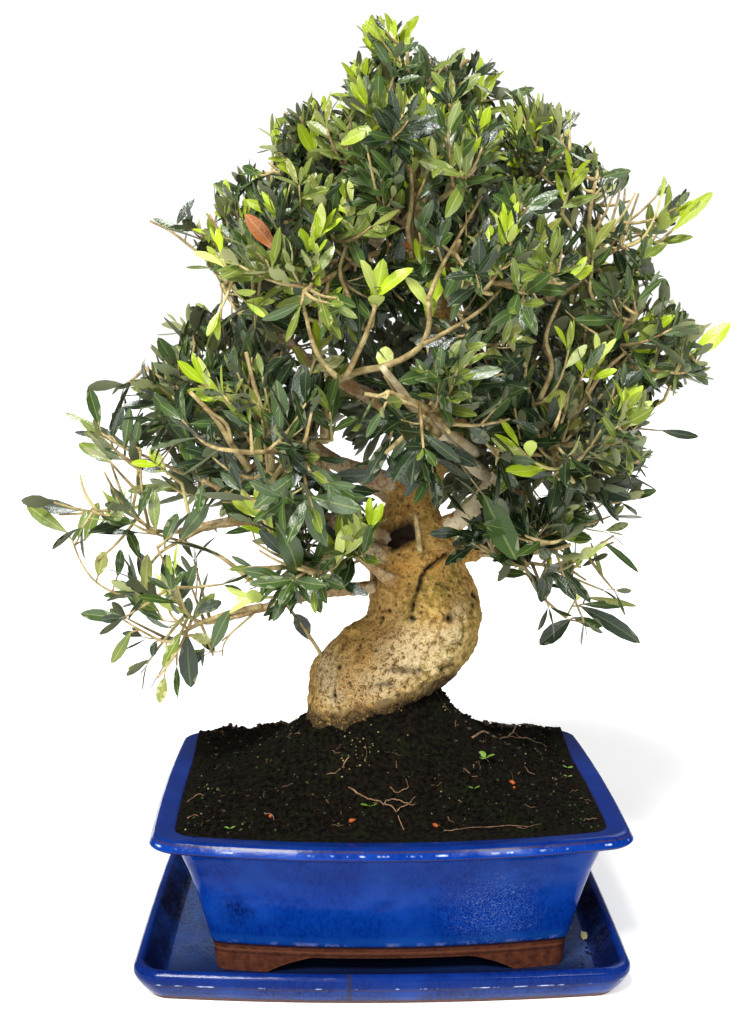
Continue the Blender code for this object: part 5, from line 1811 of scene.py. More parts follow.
# Dents: both ends, the width and the depth
DENTS = (
    ((0.0092, -0.0389, 0.2265), (0.0293, -0.0354, 0.2226), 0.0030, 0.0026),
    ((-0.0018, -0.0393, 0.2131), (0.0077, -0.0392, 0.2147), 0.0026, 0.0018),
    ((0.0489, -0.0276, 0.2230), (0.0572, -0.0237, 0.2261), 0.0024, 0.0016),
    ((0.0030, -0.0188, 0.2972), (0.0109, -0.0248, 0.2951), 0.0012, 0.0020),
    ((0.0442, -0.0267, 0.2938), (0.0540, -0.0246, 0.2886), 0.0014, 0.0014),
    ((0.0289, -0.0305, 0.2889), (0.0380, -0.0300, 0.2860), 0.0012, 0.0010),
)

# The crack: the points that it runs through
CRACK = (
    (0.0642, 0.0040, 0.3180), (0.0510, -0.0168, 0.3147), (0.0420, -0.0214, 0.3098),
    (0.0347, -0.0246, 0.3039), (0.0314, -0.0277, 0.2964), (0.0289, -0.0305, 0.2889),
    (0.0250, -0.0319, 0.2787), (0.0242, -0.0319, 0.2722),
)
CRACK_WIDTH = 0.0016
CRACK_DEPTH = 0.0042

# Patches of colour: the place and the size
PALE = (
    ((0.0147, -0.0369, 0.2418), 0.022), ((0.0468, -0.0317, 0.2405), 0.016),
    ((-0.0369, -0.0260, 0.2062), 0.018), ((-0.0050, -0.0385, 0.2096), 0.018),
    ((0.0564, -0.0304, 0.2508), 0.010), ((0.0308, -0.0354, 0.2332), 0.018),
    ((-0.0452, -0.0084, 0.2223), 0.014), ((0.0620, -0.0240, 0.2700), 0.008),
)
RUST = (
    ((-0.0288, -0.0322, 0.2145), 0.011), ((-0.0129, -0.0348, 0.1963), 0.014),
    ((0.0031, -0.0260, 0.2538), 0.013), ((-0.0130, -0.0346, 0.2331), 0.010),
    ((0.0150, -0.0250, 0.3050), 0.013), ((0.0450, -0.0250, 0.3050), 0.010),
)
MOSS = (
    ((0.0345, -0.0315, 0.2851), 0.013), ((0.0719, -0.0189, 0.2455), 0.020),
    ((0.0243, -0.0316, 0.2665), 0.011), ((0.0400, -0.0320, 0.2130), 0.020),
    ((0.0720, -0.0100, 0.2700), 0.014), ((0.0466, -0.0281, 0.2884), 0.011),
    ((0.0655, -0.0200, 0.2334), 0.016), ((0.0580, -0.0140, 0.3000), 0.012),
)

# Where the soil meets the trunk: its height at the middle, its rise per metre across, and the stain's depth
SOIL_LINE = 0.1930
SOIL_LINE_RISE = 0.36
STAIN_DEPTH = 0.0080

# The dark strip below the hollow: a shallow recess, its dark partly its own colour and partly painted shade
STRIP = ((-0.0030, -0.0060, 0.3130), (-0.0060, -0.0070, 0.2994), (-0.0080, -0.0030, 0.2860))
STRIP_SIZE = 0.0080

# Where the boughs' bark is pale
PALE_LIMB = (
    (0.062, -0.004, 0.342), (0.080, -0.018, 0.364), (0.088, -0.026, 0.378), (0.058, -0.060, 0.400),
    (0.038, -0.088, 0.420),
)


def fbm(point, size, octaves=3):
    return noise.fractal(Vector(point) / size, 1.0, 2.1, octaves)


def near(points, place, size):
    """1 at a place, falling smoothly to 0 a few sizes away."""
    return np.exp(-((points - np.array(place)) ** 2).sum(1) / size ** 2)


def from_segment(points, start, end):
    start, end = np.array(start), np.array(end)
    span = end - start
    t = np.clip((points - start) @ span / (span @ span), 0, 1)
    return np.linalg.norm(points - start - t[:, None] * span, axis=1)


def along_path(points, path):
    return np.min([from_segment(points, a, b) for a, b in zip(path, path[1:])], axis=0)


def voxel_body(parts, size):
    """One smooth closed mesh round overlapping closed parts."""
    points = []
    faces = []
    for part_points, part_faces in parts:
        start = len(points)
        points += [tuple(p) for p in part_points]
        faces += [tuple(int(i) + start for i in face) for face in part_faces]
    obj = put("rough", raw_mesh("rough", points, faces))
    remesh = obj.modifiers.new("remesh", "REMESH")
    remesh.mode = "VOXEL"
    remesh.voxel_size = size
    smooth = obj.modifiers.new("smooth", "SMOOTH")
    smooth.factor = 0.6
    smooth.iterations = 6
    made = baked(obj)
    bpy.data.objects.remove(obj, do_unlink=True)
    return made


def points_of(mesh):
    points = np.empty(len(mesh.vertices) * 3, np.float32)
    mesh.vertices.foreach_get("co", points)
    normals = np.empty(len(mesh.vertices) * 3, np.float32)
    mesh.vertices.foreach_get("normal", normals)
    return points.reshape(-1, 3).astype(float), normals.reshape(-1, 3).astype(float)


def bough_tube(name, steps=12):
    """A bough's fine tube, with a flared root, small swellings and bark ridges that run along it."""
    points, radii = bough_path(name, steps)
    spans = [0.0]
    for a, b in zip(points, points[1:]):
        spans.append(spans[-1] + (b - a).length)
    seed = sum(map(ord, name))
    radii = np.array(radii)
    for i, along in enumerate(spans):
        knots = SWELLINGS[1] * noise.noise(Vector((along / SWELLINGS[0], seed, 0)))
        knots += RIPPLES[1] * noise.noise(Vector((along / RIPPLES[0], 0, seed)))
        radii[i] *= (1 + knots) * (1 - BOUGH_TAPER * along / spans[-1])
        if BOUGHS[name][0] not in ("trunk", "leader"):
            radii[i] *= np.interp(along, (0, THIN_ROOT[0]), (THIN_ROOT[1], 1.0))
    return points, radii


def collar(name):
    """The flare where a bough leaves its limb: a short cone along the bough's first stretch."""
    points, radii = bough_path(name, 12)
    reach = 0.0
    path = [points[0]]
    flare = [radii[0] * COLLAR_FLARE]
    for a, b in zip(points, points[1:]):
        reach += (b - a).length
        share = reach / COLLAR_REACH
        if share > 1:
            break
        path.append(b)
        flare.append(radii[0] * (COLLAR_FLARE - COLLAR_LOSS * share ** 0.5))
    return path, flare


def build_trunk():
    parts = [trunk_mesh(0.0, steps=81, sides=96, knot_steps=10)]
    points, radii = bough_tube("leader")
    parts.append(tube_arrays(points, radii, 24))
    for name, (parent, *_) in BOUGHS.items():
        if parent in ("trunk", "leader") and name != "leader":
            parts.append(tube_arrays(*collar(name), 20))
    mesh = voxel_body(parts, TRUNK_VOXEL)
    points, normals = points_of(mesh)
    relief, dark = trunk_relief(points)
    points += normals * relief[:, None]
    mesh.vertices.foreach_set("co", points.astype(np.float32).ravel())
    mesh.update()
    trunk = finish_piece("trunk_bark", mesh, [trunk_material()])
    upper = np.clip((points[:, 2] - UPPER_FROM) / UPPER_OVER, 0, 1)
    above = points[:, 2] - SOIL_LINE - SOIL_LINE_RISE * np.clip(points[:, 0], -0.035, 0.05)
    ragged = noise_at(points, 0.006)
    buried = np.clip(1 - (above - 0.005 * ragged) / STAIN_DEPTH, 0, 1)
    set_values(trunk, "pale", np.clip(sum(near(points, *spot) for spot in PALE), 0, 1))
    set_values(trunk, "rust", np.clip(sum(near(points, *spot) for spot in RUST) + 0.25 * upper, 0, 1))
    set_values(trunk, "moss", np.clip(sum(near(points, *spot) for spot in MOSS) + 0.15 * upper, 0, 1))
    # Dark of the recesses: partly the bark's own colour, partly painted shade.
    set_values(trunk, "dark", np.clip(dark, 0, 1))
    set_values(trunk, "buried", 0.97 * buried ** 0.5)
    set_values(trunk, "specks", np.clip(0.60 + 0.8 * near(points, (-0.02, -0.03, 0.21), 0.04), 0, 1))
    finish(trunk, ["trunk", "leader"])


def trunk_relief(points):
    """How far the bark stands out at each point, and how dark: its own dark plus painted shade in its
    recesses.
    """
    thick = np.clip((RELIEF_TOP - points[:, 2]) / RELIEF_FADE, 0.15, 1.0)
    rough = noise_at(points, 0.004)
    pits = noise_at(points, 0.0026)
    (broad, broad_size), (middle, middle_size) = BARK_BROAD, BARK_MIDDLE
    relief = np.array([broad * fbm(p, broad_size, 2) + middle * fbm(p, middle_size,
                                                                    3) for p in points]) * thick
    ribs, across, up = BARK_RIBS
    relief += np.array([ribs * noise.noise(Vector((p[0] / across, p[1] / across,
                                                   p[2] / up))) for p in points])
    relief -= PORE_DEPTH * np.clip((pits - 0.40) / 0.2, 0, 1) * thick
    dark = 0.85 * np.clip((pits - 0.42) / 0.2, 0, 1)
    for place, size, depth in PITS:
        share = near(points, place, size)
        relief -= depth * share
        dark = np.maximum(dark, 1.4 * share - 0.2)
    wide, depth = HOLLOW_SIZE
    share = np.exp(-(along_path(points, HOLLOW) / wide) ** 2)
    relief -= depth * share * (1 + 0.6 * rough)
    dark = np.maximum(dark, 2.2 * share - 0.4 + 0.4 * rough * share)
    share = np.exp(-(along_path(points, STRIP) / STRIP_SIZE) ** 2)
    relief -= 0.0020 * share * (0.6 + 1.0 * np.abs(rough))
    dark = np.maximum(dark, share * (0.80 + 0.5 * rough))
    for place, size, height in BUMPS:
        relief += height * near(points, place, size) * (1 + 0.6 * rough)
    for start, end, size, depth in DENTS:
        away = from_segment(points, start, end) / size
        relief -= depth * np.exp(-away ** 2)
        dark = np.maximum(dark, 0.70 * np.exp(-away ** 2))
    wander = points + 0.0012 * np.stack([rough, rough, -rough], 1)
    away = along_path(wander, CRACK) / CRACK_WIDTH
    relief -= CRACK_DEPTH * np.exp(-away ** 2) - 0.0012 * np.exp(-(away / 4 - 0.8) ** 2 * 3)
    dark = np.maximum(dark, 1.2 * np.exp(-away ** 2))
    dark = add_knot(points, relief, dark)
    bands = np.sin(points[:, 2] / 0.0011 + 6 * (points[:, 0] - 0.05) / 0.02 + 2 * rough)
    relief += 0.0004 * bands * near(points, (0.058, -0.015, 0.306), 0.012)
    return relief, dark


def add_knot(points, relief, dark):
    """Adds the knot's raised ring, groove and low mound to the relief, and gives how dark each point is."""
    knot = points - np.array(KNOT)
    wide, tall, deep = KNOT_HALF
    ring = np.sqrt((knot[:, 0] / wide) ** 2 + (knot[:, 2] / tall) ** 2 + (knot[:, 1] / deep) ** 2)
    relief += 0.0016 * np.exp(-((ring - 1.30) / 0.25) ** 2) - 0.0012 * np.exp(-((ring - 1.0) / 0.12) ** 2)
    relief += 0.0012 * np.clip(1 - ring, 0, 1) - 0.0006 * np.exp(-((ring - 0.62) / 0.08) ** 2)
    # Painted shade, partly the bark's own dark, in the knot's groove.
    return np.maximum(dark, 0.28 * np.exp(-((ring - 1.0) / 0.09) ** 2))


def build_boughs():
    batch = Batch()
    for name in BOUGHS:
        if name == "leader":
            continue
        points, radii = bough_tube(name)
        fine = [Vector(p) for p in smooth_curve(points, 2)]
        thick = np.interp(np.linspace(0, 1, len(fine)), np.linspace(0, 1, len(radii)), radii)
        tube, faces = tube_arrays(fine, thick, BARK_SIDES)
        middles = np.vstack([np.repeat(to_array(fine), BARK_SIDES, axis=0), to_array([fine[0], fine[-1]])])
        out = tube - middles
        lengths = np.maximum(np.linalg.norm(out, axis=1), 1e-9)
        bumps = [0.00055 * fbm(p, 0.0055, 3) + 0.0003 * noise.noise(Vector(p) / 0.002) for p in tube]
        bumps = np.array(bumps)
        bumps[-2:] = 0
        tube = tube + out / lengths[:, None] * bumps[:, None]
        batch.add(tube, faces)
    boughs = batch.piece("boughs_bark", bough_material())
    points, _ = points_of(boughs.data)
    set_values(boughs, "pale", np.exp(-(along_path(points, PALE_LIMB) / 0.016) ** 4) * 0.85)
    finish(boughs, [name for name in BOUGHS if name != "leader"])


# Pot, tray and soil

# Rounding of the corners in the outlines, and the least angle of a sharp edge
POT_FILLET = 0.0016
ARCH_FILLET = 0.006
TRAY_FILLET = 0.0014
SHARP_EDGE = math.radians(40)

# Heights up to which the tray shows bare clay, its floor and its shaded inner wall
TRAY_CLAY_TOP = 0.0030
TRAY_FLOOR_TOP = 0.012
TRAY_WALL_TOP = 0.0240


def fillet(profile, radius, steps=4):
    """The profile with each inner corner rounded, within a third of the shorter side next to it."""
    points = [Vector(p) for p in profile]
    made = [points[0]]
    for before, corner, after in zip(points, points[1:], points[2:]):
        reach = min(radius, (before - corner).length / 3, (after - corner).length / 3)
        first = corner + (before - corner).normalized() * reach
        last = corner + (after - corner).normalized() * reach
        for step in range(steps + 1):
            t = step / steps
            made.append(first * (1 - t) ** 2 + corner * 2 * t * (1 - t) + last * t ** 2)
    made.append(points[-1])
    return made


def set_slots(mesh, choose):
    slots = np.array([choose(face.center) for face in mesh.polygons], np.int32)
    mesh.polygons.foreach_set("material_index", slots)


def placed(points):
    """Points of the pot's own frame in the model's frame."""
    turn = Matrix.Rotation(POT_TURN, 3, "Z")
    return [turn @ Vector(p) + Vector((*POT_PLACE, 0)) for p in points]


def build_pot(clay):
    profile = fillet(POT_OUTSIDE + POT_INSIDE, POT_FILLET)
    mesh = raw_mesh("pot_glazed", *loft([placed(pot_ring(*p)) for p in profile]))
    pot = finish_piece("pot_glazed", mesh, [pot_glaze(), clay])
    below = FOOT_BOTTOM - 0.005
    hollow = [placed(pot_ring(POT_OUTSIDE[0][0] + FOOT_WALL, height)) for height in (below, POT_UNDERSIDE)]
    cutters = [hollow]
    reach = RIM_HALF[0] + 0.02
    step_in, step_height = ARCH_STEP
    for wide, sideways in ((ARCH_FRONT, False), (ARCH_SIDE, True)):
        corners = [(wide, below), (wide, FOOT_BOTTOM), (wide - step_in, step_height)]
        corners.append((wide - ARCH_RAMP, ARCH_TOP))
        corners += [(-along, height) for along, height in reversed(corners)]
        shape = [tuple(p) for p in fillet(corners, ARCH_FILLET)]
        if sideways:
            ends = [[(end, along, height) for along, height in shape] for end in (-reach, reach)]
        else:
            ends = [[(along, -end, height) for along, height in shape] for end in (-reach, reach)]
        cutters.append([placed(end) for end in ends])
    cut_away(pot, cutters, clay)
    set_slots(pot.data, lambda centre: int(centre.z < GLAZE_LINE))
    pot.data.set_sharp_from_angle(angle=SHARP_EDGE)
    finish(pot, ["pot"])


def cut_away(obj, cutters, material):
    """Cuts the solids through each pair of rings out of an object."""
    tools = []
    for rings in cutters:
        mesh = raw_mesh("cutter", *loft(rings))
        mesh.materials.append(material)
        tool = put("cutter", mesh)
        tools.append(tool)
        modifier = obj.modifiers.new("cut", "BOOLEAN")
        modifier.operation = "DIFFERENCE"
        modifier.object = tool
    obj.data = baked(obj)
    obj.modifiers.clear()
    for tool in tools:
        bpy.data.objects.remove(tool, do_unlink=True)


def build_tray(clay):
    profile = fillet(TRAY_PROFILE, TRAY_FILLET)
    rings = [outline(tuple(side - inset for side in TRAY_HALF), TRAY_CORNER - 0.45 * inset, TRAY_BOW, height)
             for inset, height in profile]
    mesh = raw_mesh("tray_glazed", *loft(rings))
    walls = tray_inside("shaded_tray_wall", (0.003, 0.004, 0.016), (0.006, 0.009, 0.040))
    bottom = tray_inside("tray_floor", (0.020, 0.034, 0.100), (0.046, 0.078, 0.180))
    tray = finish_piece("tray_glazed", mesh, [tray_glaze(), clay, walls, bottom])
    for face in tray.data.polygons:
        inward = face.normal.x * face.center.x + face.normal.y * face.center.y < 0
        if face.center.z < TRAY_CLAY_TOP:
            face.material_index = 1
        elif face.normal.z > 0.8 and face.center.z < TRAY_FLOOR_TOP:
            face.material_index = 3
        elif inward and face.center.z < TRAY_WALL_TOP and face.normal.z < 0.9:
            face.material_index = 2
    tray.data.set_sharp_from_angle(angle=SHARP_EDGE)
    finish(tray, ["tray"])


def soil_height(x, y):
    """Height of the soil's surface at a place in the pot's own frame, with crumbs, a bank and a heap."""
    place = Vector((x, y, 0))
    edge = max(abs(x) / (RIM_HALF[0] - 0.019), abs(y) / (RIM_HALF[1] - 0.012))
    blend = clamp((1.0 - edge) * 8)
    lumps = 0.0024 * fbm(place, 0.016, 2) + 0.0022 * abs(noise.noise(place / 0.0060))
    lumps += 0.0012 * noise.noise(place / 0.0026)
    away = math.hypot((x - FOOT_MIDDLE[0]) / FOOT_HALF[0], (y - FOOT_MIDDLE[1]) / FOOT_HALF[1])
    right = clamp((x + 0.035) / 0.070)
    heap = HEAP_HEIGHT * right * math.exp(-((away - 1.0) / HEAP_REACH) ** 2)
    wall = RIM_HALF[1] - 0.0156 + 0.0190 * (1 - (x / 0.161) ** 2) - y
    reach = BANK_REACH[0] if wall < BANK_PLACE else BANK_REACH[1]
    uneven = 0.9 + 0.3 * noise.noise(place / 0.030)
    bank = BANK_HEIGHT * math.exp(-((wall - BANK_PLACE) / reach) ** 2) * uneven
    return SOIL_EDGE + blend * (mound(x, y) + heap) + bank + (0.35 + 0.65 * blend) * lumps


def build_soil():
    inset = wall_inset(SOIL_EDGE)
    half = set_in(RIM_HALF, inset)
    bow = RIM_BOW * (half[0] / RIM_HALF[0]) ** 2
    half = (half[0] + SOIL_OVERLAP, half[1] + SOIL_OVERLAP)
    corner = RIM_CORNER - 0.2 * inset
    across = np.linspace(-1, 1, int(2 * half[0] / SOIL_GRID))
    deep = np.linspace(-1, 1, int(2 * half[1] / SOIL_GRID))
    points = []
    for v in deep:
        for u in across:
            x, y = u * half[0], v * half[1]
            over = Vector((abs(x) - half[0] + corner, abs(y) - half[1] + corner))
            if min(over) > 0 and over.length > corner:
                over = over.normalized() * corner
                x = math.copysign(half[0] - corner + over.x, x)
                y = math.copysign(half[1] - corner + over.y, y)
            x, y = x + SIDE_BOW * bow * u * (1 - v * v), y + bow * v * (1 - u * u)
            points.append((x, y, soil_height(x, y)))
    count = len(across)
    start = (np.arange(len(deep) - 1)[:, None] * count + np.arange(count - 1)[None, :]).ravel()
    faces = np.stack([start, start + 1, start + count + 1, start + count], 1)
    soil = add_piece("soil_surface", to_array(placed(points)), faces, [soil_material()])
    finish(soil, ["soil"])


def on_soil(x, y, lift=0.0006):
    """The point on the soil at a place in the model's frame."""
    own = Matrix.Rotation(-POT_TURN, 3, "Z") @ Vector((x - POT_PLACE[0], y - POT_PLACE[1], 0))
    return Vector((x, y, soil_height(own.x, own.y) + lift))


def lump_arrays():
    """A small round body of twenty faces."""
    golden = (1 + 5 ** 0.5) / 2
    points = []
    for a in (-1, 1):
        for b in (-golden, golden):
            points += [(0, a, b), (a, b, 0), (b, 0, a)]
    points = np.array(points) / math.hypot(1, golden)
    faces = []
    for i in range(12):
        for j in range(i + 1, 12):
            for k in range(j + 1, 12):
                sides = [np.linalg.norm(points[a] - points[b]) for a, b in ((i, j), (j, k), (k, i))]
                if max(sides) < 1.1:
                    outward = np.dot(np.cross(points[j] - points[i], points[k] - points[i]), points[i])
                    faces.append((i, j, k) if outward > 0 else (i, k, j))
    return points, np.array(faces)


def soil_point(rng):
    """A random place on the soil, in the model's frame, clear of the trunk."""
    while True:
        x = rng.uniform(-RIM_HALF[0] + 0.024, RIM_HALF[0] - 0.024)
        y = rng.uniform(-RIM_HALF[1] + 0.018, RIM_HALF[1] - 0.018)
        if math.hypot((x + 0.015) / 0.048, (y - 0.015) / 0.044) > 1:
            break
    return placed([(x, y, soil_height(x, y) + 0.0004)])[0]


def scatter(rng, places, size, flat, name, material):
    """Crumbs strewn at the places given."""
    points, faces = lump_arrays()
    batch = Batch()
    for place in places:
        turn = Matrix.Rotation(rng.uniform(0, 6.3), 3, "Z") @ Matrix.Rotation(rng.gauss(0, 0.5), 3, "X")
        radius = rng.uniform(*size)
        stretch = np.array([radius * rng.uniform(0.7, 1.5), radius * rng.uniform(0.6, 1.1), radius * flat])
        ragged = 1 + 0.25 * np.array([rng.uniform(-1, 1) for _ in points])[:, None]
        batch.add((points * ragged * stretch) @ np.array(turn).T + np.array(place), faces)
    finish(batch.piece(name, material, smooth=False))


# Roots that lie on the soil, as places across and in depth with their thickness, and the number of fibres
ROOTS = (
    (((-0.0256, -0.0793), (-0.0133, -0.0888), (0.0002, -0.0987), (0.0092, -0.1032), (0.0153, -0.1190)),
     0.0009),
    (((0.0002, -0.0987), (0.0080, -0.0940), (0.0170, -0.0970), (0.0247, -0.0957)), 0.0007),
    (((0.0100, -0.1040), (0.0180, -0.0990), (0.0260, -0.0880)), 0.0006),
    (((0.0059, -0.0838), (0.0110, -0.0880), (0.0198, -0.0840), (0.0180, -0.0770)), 0.0006),
    (((0.0754, -0.0109), (0.0980, 0.0300), (0.1180, 0.0800), (0.1316, 0.1080), (0.1480, 0.1150)), 0.0012),
    (((0.1050, 0.0700), (0.1320, 0.0820), (0.1500, 0.0700)), 0.0006),
    (((0.0800, 0.1000), (0.1150, 0.1120), (0.1400, 0.1040)), 0.0006),
    (((0.0450, -0.1205), (0.0591, -0.1200), (0.0900, -0.1150), (0.1200, -0.1090)), 0.0005),
    (((-0.0256, -0.0560), (-0.0286, -0.0600), (-0.0326, -0.0645), (-0.0428, -0.0654)), 0.0007),
    (((-0.1530, -0.0560), (-0.1470, -0.0500), (-0.1404, -0.0508)), 0.0006),
    (((-0.1490, -0.0900), (-0.1440, -0.0850), (-0.1400, -0.0870)), 0.0006),
    (((-0.0900, -0.0950), (-0.0840, -0.1010), (-0.0820, -0.1060)), 0.0005),
    (((0.0650, -0.0550), (0.0700, -0.0600), (0.0760, -0.0590)), 0.0006),
)
FIBRES = 60

# How many crumbs, chips and grains lie on the soil, and on its heap, at its back and at the trunk's foot
CRUMBS = 2600
HEAP_CRUMBS = 260
BACK_CHIPS = 90
CHIPS = 50
MOSS_CRUMBS = 260
GRAINS = 70
FOOT_GRAINS = 34

# Single bits on the soil, as places across and in depth
ORANGE_BITS = (
    (0.1047, -0.0450), (0.1060, -0.0500), (-0.0233, -0.1120), (0.0393, -0.1150), (-0.0850, -0.1000),
)
PALE_BITS = ((-0.1432, 0.1100), (-0.1420, -0.0300), (-0.0100, -0.1080))

# Seedlings: the place, the leaves' length and their number
SEEDLINGS = (
    ((0.0838, -0.0356), 0.0085, 3), ((-0.0104, -0.0980), 0.0070, 2), ((0.1600, 0.0200), 0.0050, 2),
    ((0.0720, -0.0720), 0.0050, 2), ((-0.1148, -0.1120), 0.0045, 2), ((0.1560, -0.0050), 0.0040, 2),
)


def build_roots():
    rng = random.Random("roots")
    batch = Batch()
    for places, thick in ROOTS:
        rows = smooth_curve([(x, y) for x, y in places], 6)
        lift = [0.0004 + 0.0012 * math.sin(math.pi * i / (len(rows) - 1)) + rng.uniform(0, 0.0005)
                for i in range(len(rows))]
        points = [on_soil(x, y, up) for (x, y), up in zip(rows, lift)]
        batch.add(*tube_arrays(points, np.linspace(thick, thick * 0.5, len(points)) * 0.85, 6))
    for _ in range(FIBRES):
        start = soil_point(rng)
        angle = rng.uniform(0, 2 * math.pi)
        length = rng.uniform(0.004, 0.016)
        points = []
        for step in range(5):
            angle += rng.gauss(0, 0.35)
            start = start + Vector((math.cos(angle), math.sin(angle), 0)) * length / 5
            points.append(on_soil(start.x, start.y, 0.0003 + 0.0009 * (step % 2)))
        batch.add(*tube_arrays(points, [rng.uniform(0.00014, 0.00030)] * 5, 4))
    roots = batch.piece("roots_and_fibres",
                        twig_material("pale_root", (0.260, 0.150, 0.080), (0.110, 0.055, 0.030)))
    finish(roots)


def build_seedlings():
    rng = random.Random("seedlings")
    rows = []
    for place, length, count in SEEDLINGS:
        root = on_soil(*place, 0.0010)
        for number in range(count):
            angle = 2 * math.pi * number / count + rng.uniform(-0.3, 0.3)
            way = Vector((math.cos(angle), math.sin(angle), rng.uniform(0.3, 0.8))).normalized()
            across = way.cross(UP).normalized()
            rows.append((*root, *way, *across, *across.cross(way), length, 0.8 * length, 0.2, 0.3, 0.0, 0.0))
    materials = leaf_materials("seedling",
                               ((0.120, 0.240, 0.020), (0.200, 0.330, 0.050), (0.200, 0.300, 0.060)))
    finish(leaf_piece("seedlings", np.array(rows), materials))


def build_tray_leaf():
    """A yellowed oval leaf and some dark bits that lie in the tray."""
    rng = random.Random("tray")
    way = Vector((0.35, -0.93, 0.06)).normalized()
    across = Vector((0.93, 0.35, 0.0)).normalized()
    root = Vector((0.1640, -0.0425, 0.0085))
    rows = np.array([(*root, *way, *across, *across.cross(way), 0.0180, 0.0105, 0.1, -0.5, 0.0, 0.0)])
    materials = leaf_materials("fallen",
                               ((0.560, 0.460, 0.130), (0.600, 0.500, 0.180), (0.520, 0.450, 0.180)))
    finish(leaf_piece("fallen_leaf", rows, materials))
    places = [Vector((0.1636 + rng.gauss(0, 0.004), -0.0756 + rng.gauss(0, 0.008), TRAY_FLOOR + 0.0005))
              for _ in range(16)]
    points, faces = lump_arrays()
    batch = Batch()
    for place in places:
        batch.add(points * rng.uniform(0.0005, 0.0012) + np.array(place), faces)
    finish(batch.piece("tray_bits", soil_material()))


def build_litter():
    rng = random.Random("litter")
    crumbs = [soil_point(rng) for _ in range(CRUMBS)]
    scatter(rng, crumbs, (0.0008, 0.0022), 0.8, "soil_crumbs", soil_material())
    ring = []
    for _ in range(HEAP_CRUMBS):
        angle = rng.uniform(-1.2, 1.9)
        away = rng.gauss(1.08, 0.08)
        place = on_soil(-0.010 + 0.051 * away * math.cos(angle), 0.012 + 0.047 * away * math.sin(angle))
        ring.append(place + UP * rng.uniform(0, 0.002))
    scatter(rng, ring, (0.0012, 0.0030), 0.8, "heaped_crumbs", soil_material())
    back = [placed([(x, y, soil_height(x, y) + 0.001)])[0] for x, y in
            [(rng.uniform(-0.150, 0.150), rng.uniform(0.098, 0.116)) for _ in range(BACK_CHIPS)]]
    chips = [soil_point(rng) for _ in range(CHIPS)]
    red = twig_material("red_brown_chip", (0.070, 0.030, 0.015), (0.020, 0.011, 0.006))
    scatter(rng, back, (0.0014, 0.0032), 0.6, "bark_chips_back", red)
    scatter(rng, chips, (0.0010, 0.0024), 0.35, "bark_chips", red)
    scatter(rng, [on_soil(*place) for place in ORANGE_BITS], (0.0020, 0.0034), 0.6, "orange_bits",
            twig_material("orange_bit", (0.380, 0.080, 0.015), (0.230, 0.050, 0.012)))
    moss = [soil_point(rng) for _ in range(MOSS_CRUMBS)]
    scatter(rng, moss, (0.0006, 0.0016), 0.7, "moss_crumbs",
            twig_material("moss_crumb", (0.026, 0.050, 0.008), (0.010, 0.020, 0.004)))
    grains = [soil_point(rng) for _ in range(GRAINS)] + [on_soil(*place) for place in PALE_BITS]
    grains += [on_soil(rng.gauss(-0.016, 0.012), rng.gauss(-0.052, 0.007)) for _ in range(FOOT_GRAINS)]
    scatter(rng, grains, (0.0003, 0.0008), 0.9, "pale_grains",
            twig_material("pale_grain", (0.400, 0.320, 0.110), (0.240, 0.180, 0.060)))
    build_roots()
    build_seedlings()
    build_tray_leaf()


# Stage

FLOOR_HALF = 8.0
FLOOR_SHADE = (0.80, 0.80, 0.80)
FLOOR_GLOW = 0.42
SUN_POWER = 4.5
SUN_SIZE = math.radians(15)
SUN_WAY = (0.42, 0.95, -1.15)

# Soft lamps: the place, the width and the power. All look at one point.
LAMPS = {
    "front": ((-0.5, -2.0, 0.9), 0.9, 14),
    "rim": ((0.9, 1.4, 1.6), 1.0, 10),
    "glint": ((0.7, -1.5, 1.5), 0.25, 8),
}
LAMPS_AIM = (0, 0, 0.35)

# Light of the surroundings, from the lowest ways to the highest, and the brightness that the camera sees
AMBIENT = {"From Min": -0.1, "From Max": 0.9, "To Min": 0.05, "To Max": 0.38}
BACKDROP = 1.05


def build_floor():
    corners = [(FLOOR_HALF * x, FLOOR_HALF * y, 0) for x, y in ((-1, -1), (1, -1), (1, 1), (-1, 1))]
    paper = Skin("pale_floor", FLOOR_SHADE, 0.9, Specular_IOR_Level=0.0, Emission_Color=(1, 1, 1, 1),
                 Emission_Strength=FLOOR_GLOW)
    floor = finish_piece("floor", raw_mesh("floor", corners, [(0, 1, 2, 3)]), [paper.material], smooth=False)


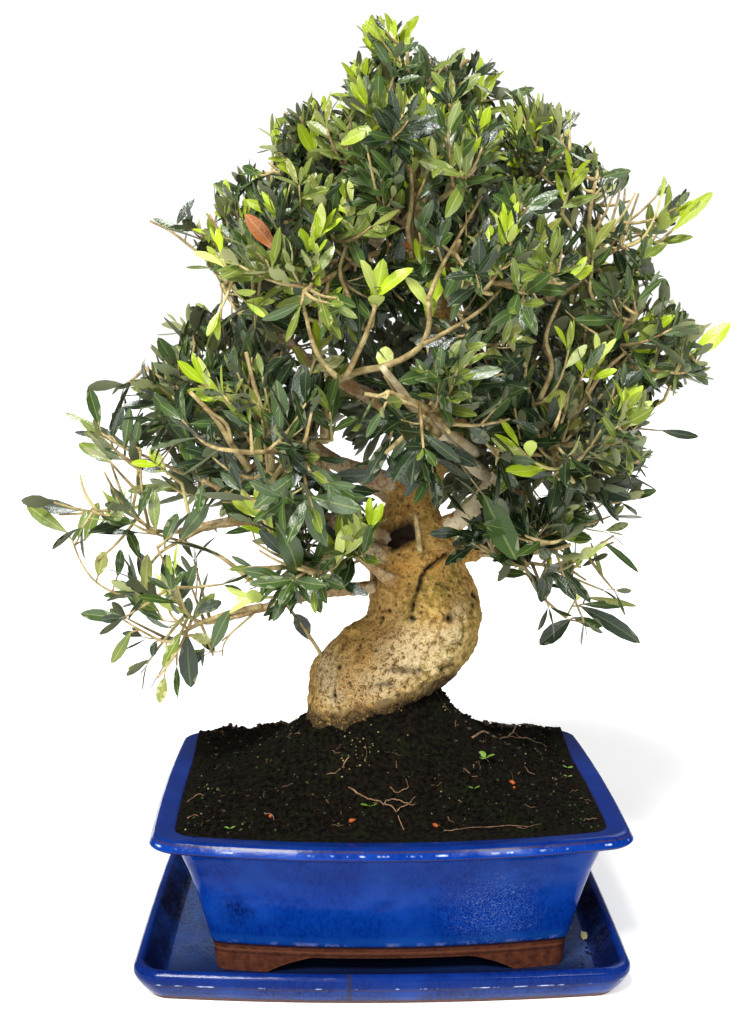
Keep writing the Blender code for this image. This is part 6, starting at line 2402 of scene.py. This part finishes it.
def build_lights():
    sun = bpy.data.lights.new("key", "SUN")
    sun.energy = SUN_POWER
    sun.angle = SUN_SIZE
    put("key", sun).rotation_euler = Vector(SUN_WAY).to_track_quat("-Z", "Y").to_euler()
    for name, (place, width, power) in LAMPS.items():
        light = bpy.data.lights.new(name, "AREA")
        light.size = width
        light.energy = power
        lamp = put(name, light)
        lamp.location = place
        lamp.rotation_euler = (Vector(LAMPS_AIM) - Vector(place)).to_track_quat("-Z", "Y").to_euler()


def build_world():
    """White surroundings, in which things above are lit more than things below."""
    world = bpy.data.worlds.new("studio")
    bpy.context.scene.world = world
    world.use_nodes = True
    tree = world.node_tree
    background = tree.nodes["Background"]
    background.inputs["Color"].default_value = (1, 1, 1, 1)
    place = tree.nodes.new("ShaderNodeTexCoord")
    height = tree.nodes.new("ShaderNodeSeparateXYZ")
    ambient = tree.nodes.new("ShaderNodeMapRange")
    seen = tree.nodes.new("ShaderNodeLightPath")
    strength = tree.nodes.new("ShaderNodeMapRange")
    for socket, value in AMBIENT.items():
        ambient.inputs[socket].default_value = value
    strength.inputs["To Max"].default_value = BACKDROP
    for output, socket in (
        (place.outputs["Generated"], height.inputs["Vector"]),
        (height.outputs["Z"], ambient.inputs["Value"]),
        (seen.outputs["Is Camera Ray"], strength.inputs["Value"]),
        (ambient.outputs["Result"], strength.inputs["To Min"]),
        (strength.outputs["Result"], background.inputs["Strength"]),
    ):
        tree.links.new(output, socket)


def build_camera():
    data = bpy.data.cameras.new("camera")
    data.lens = CAMERA_LENS
    data.sensor_width = SENSOR
    data.clip_start = CLIP_START
    camera = put("camera", data)
    camera.matrix_world = Matrix((RIGHT, ABOVE, -FORWARD)).transposed().to_4x4()
    camera.location = CAMERA_PLACE
    bpy.context.scene.camera = camera


def limb_tree():
    """The trunk and all boughs in one tree, to find what lies near them."""
    points = []
    faces = []
    for name in ["trunk", *BOUGHS]:
        limb_points, limb_faces = limb_mesh(name)
        start = len(points)
        points += [Vector(p) for p in limb_points]
        faces += [tuple(i + start for i in face) for face in limb_faces]
    return BVHTree.FromPolygons(points, faces)


def main():
    build_floor()
    build_lights()
    build_world()
    build_camera()
    clay = clay_material()
    build_tray(clay)
    build_pot(clay)
    build_soil()
    build_litter()
    build_trunk()
    build_boughs()
    build_crown(grow_masses(), limb_tree())
    bpy.context.scene.view_settings.view_transform = "Standard"


main()
bpy.context.view_layer.update()
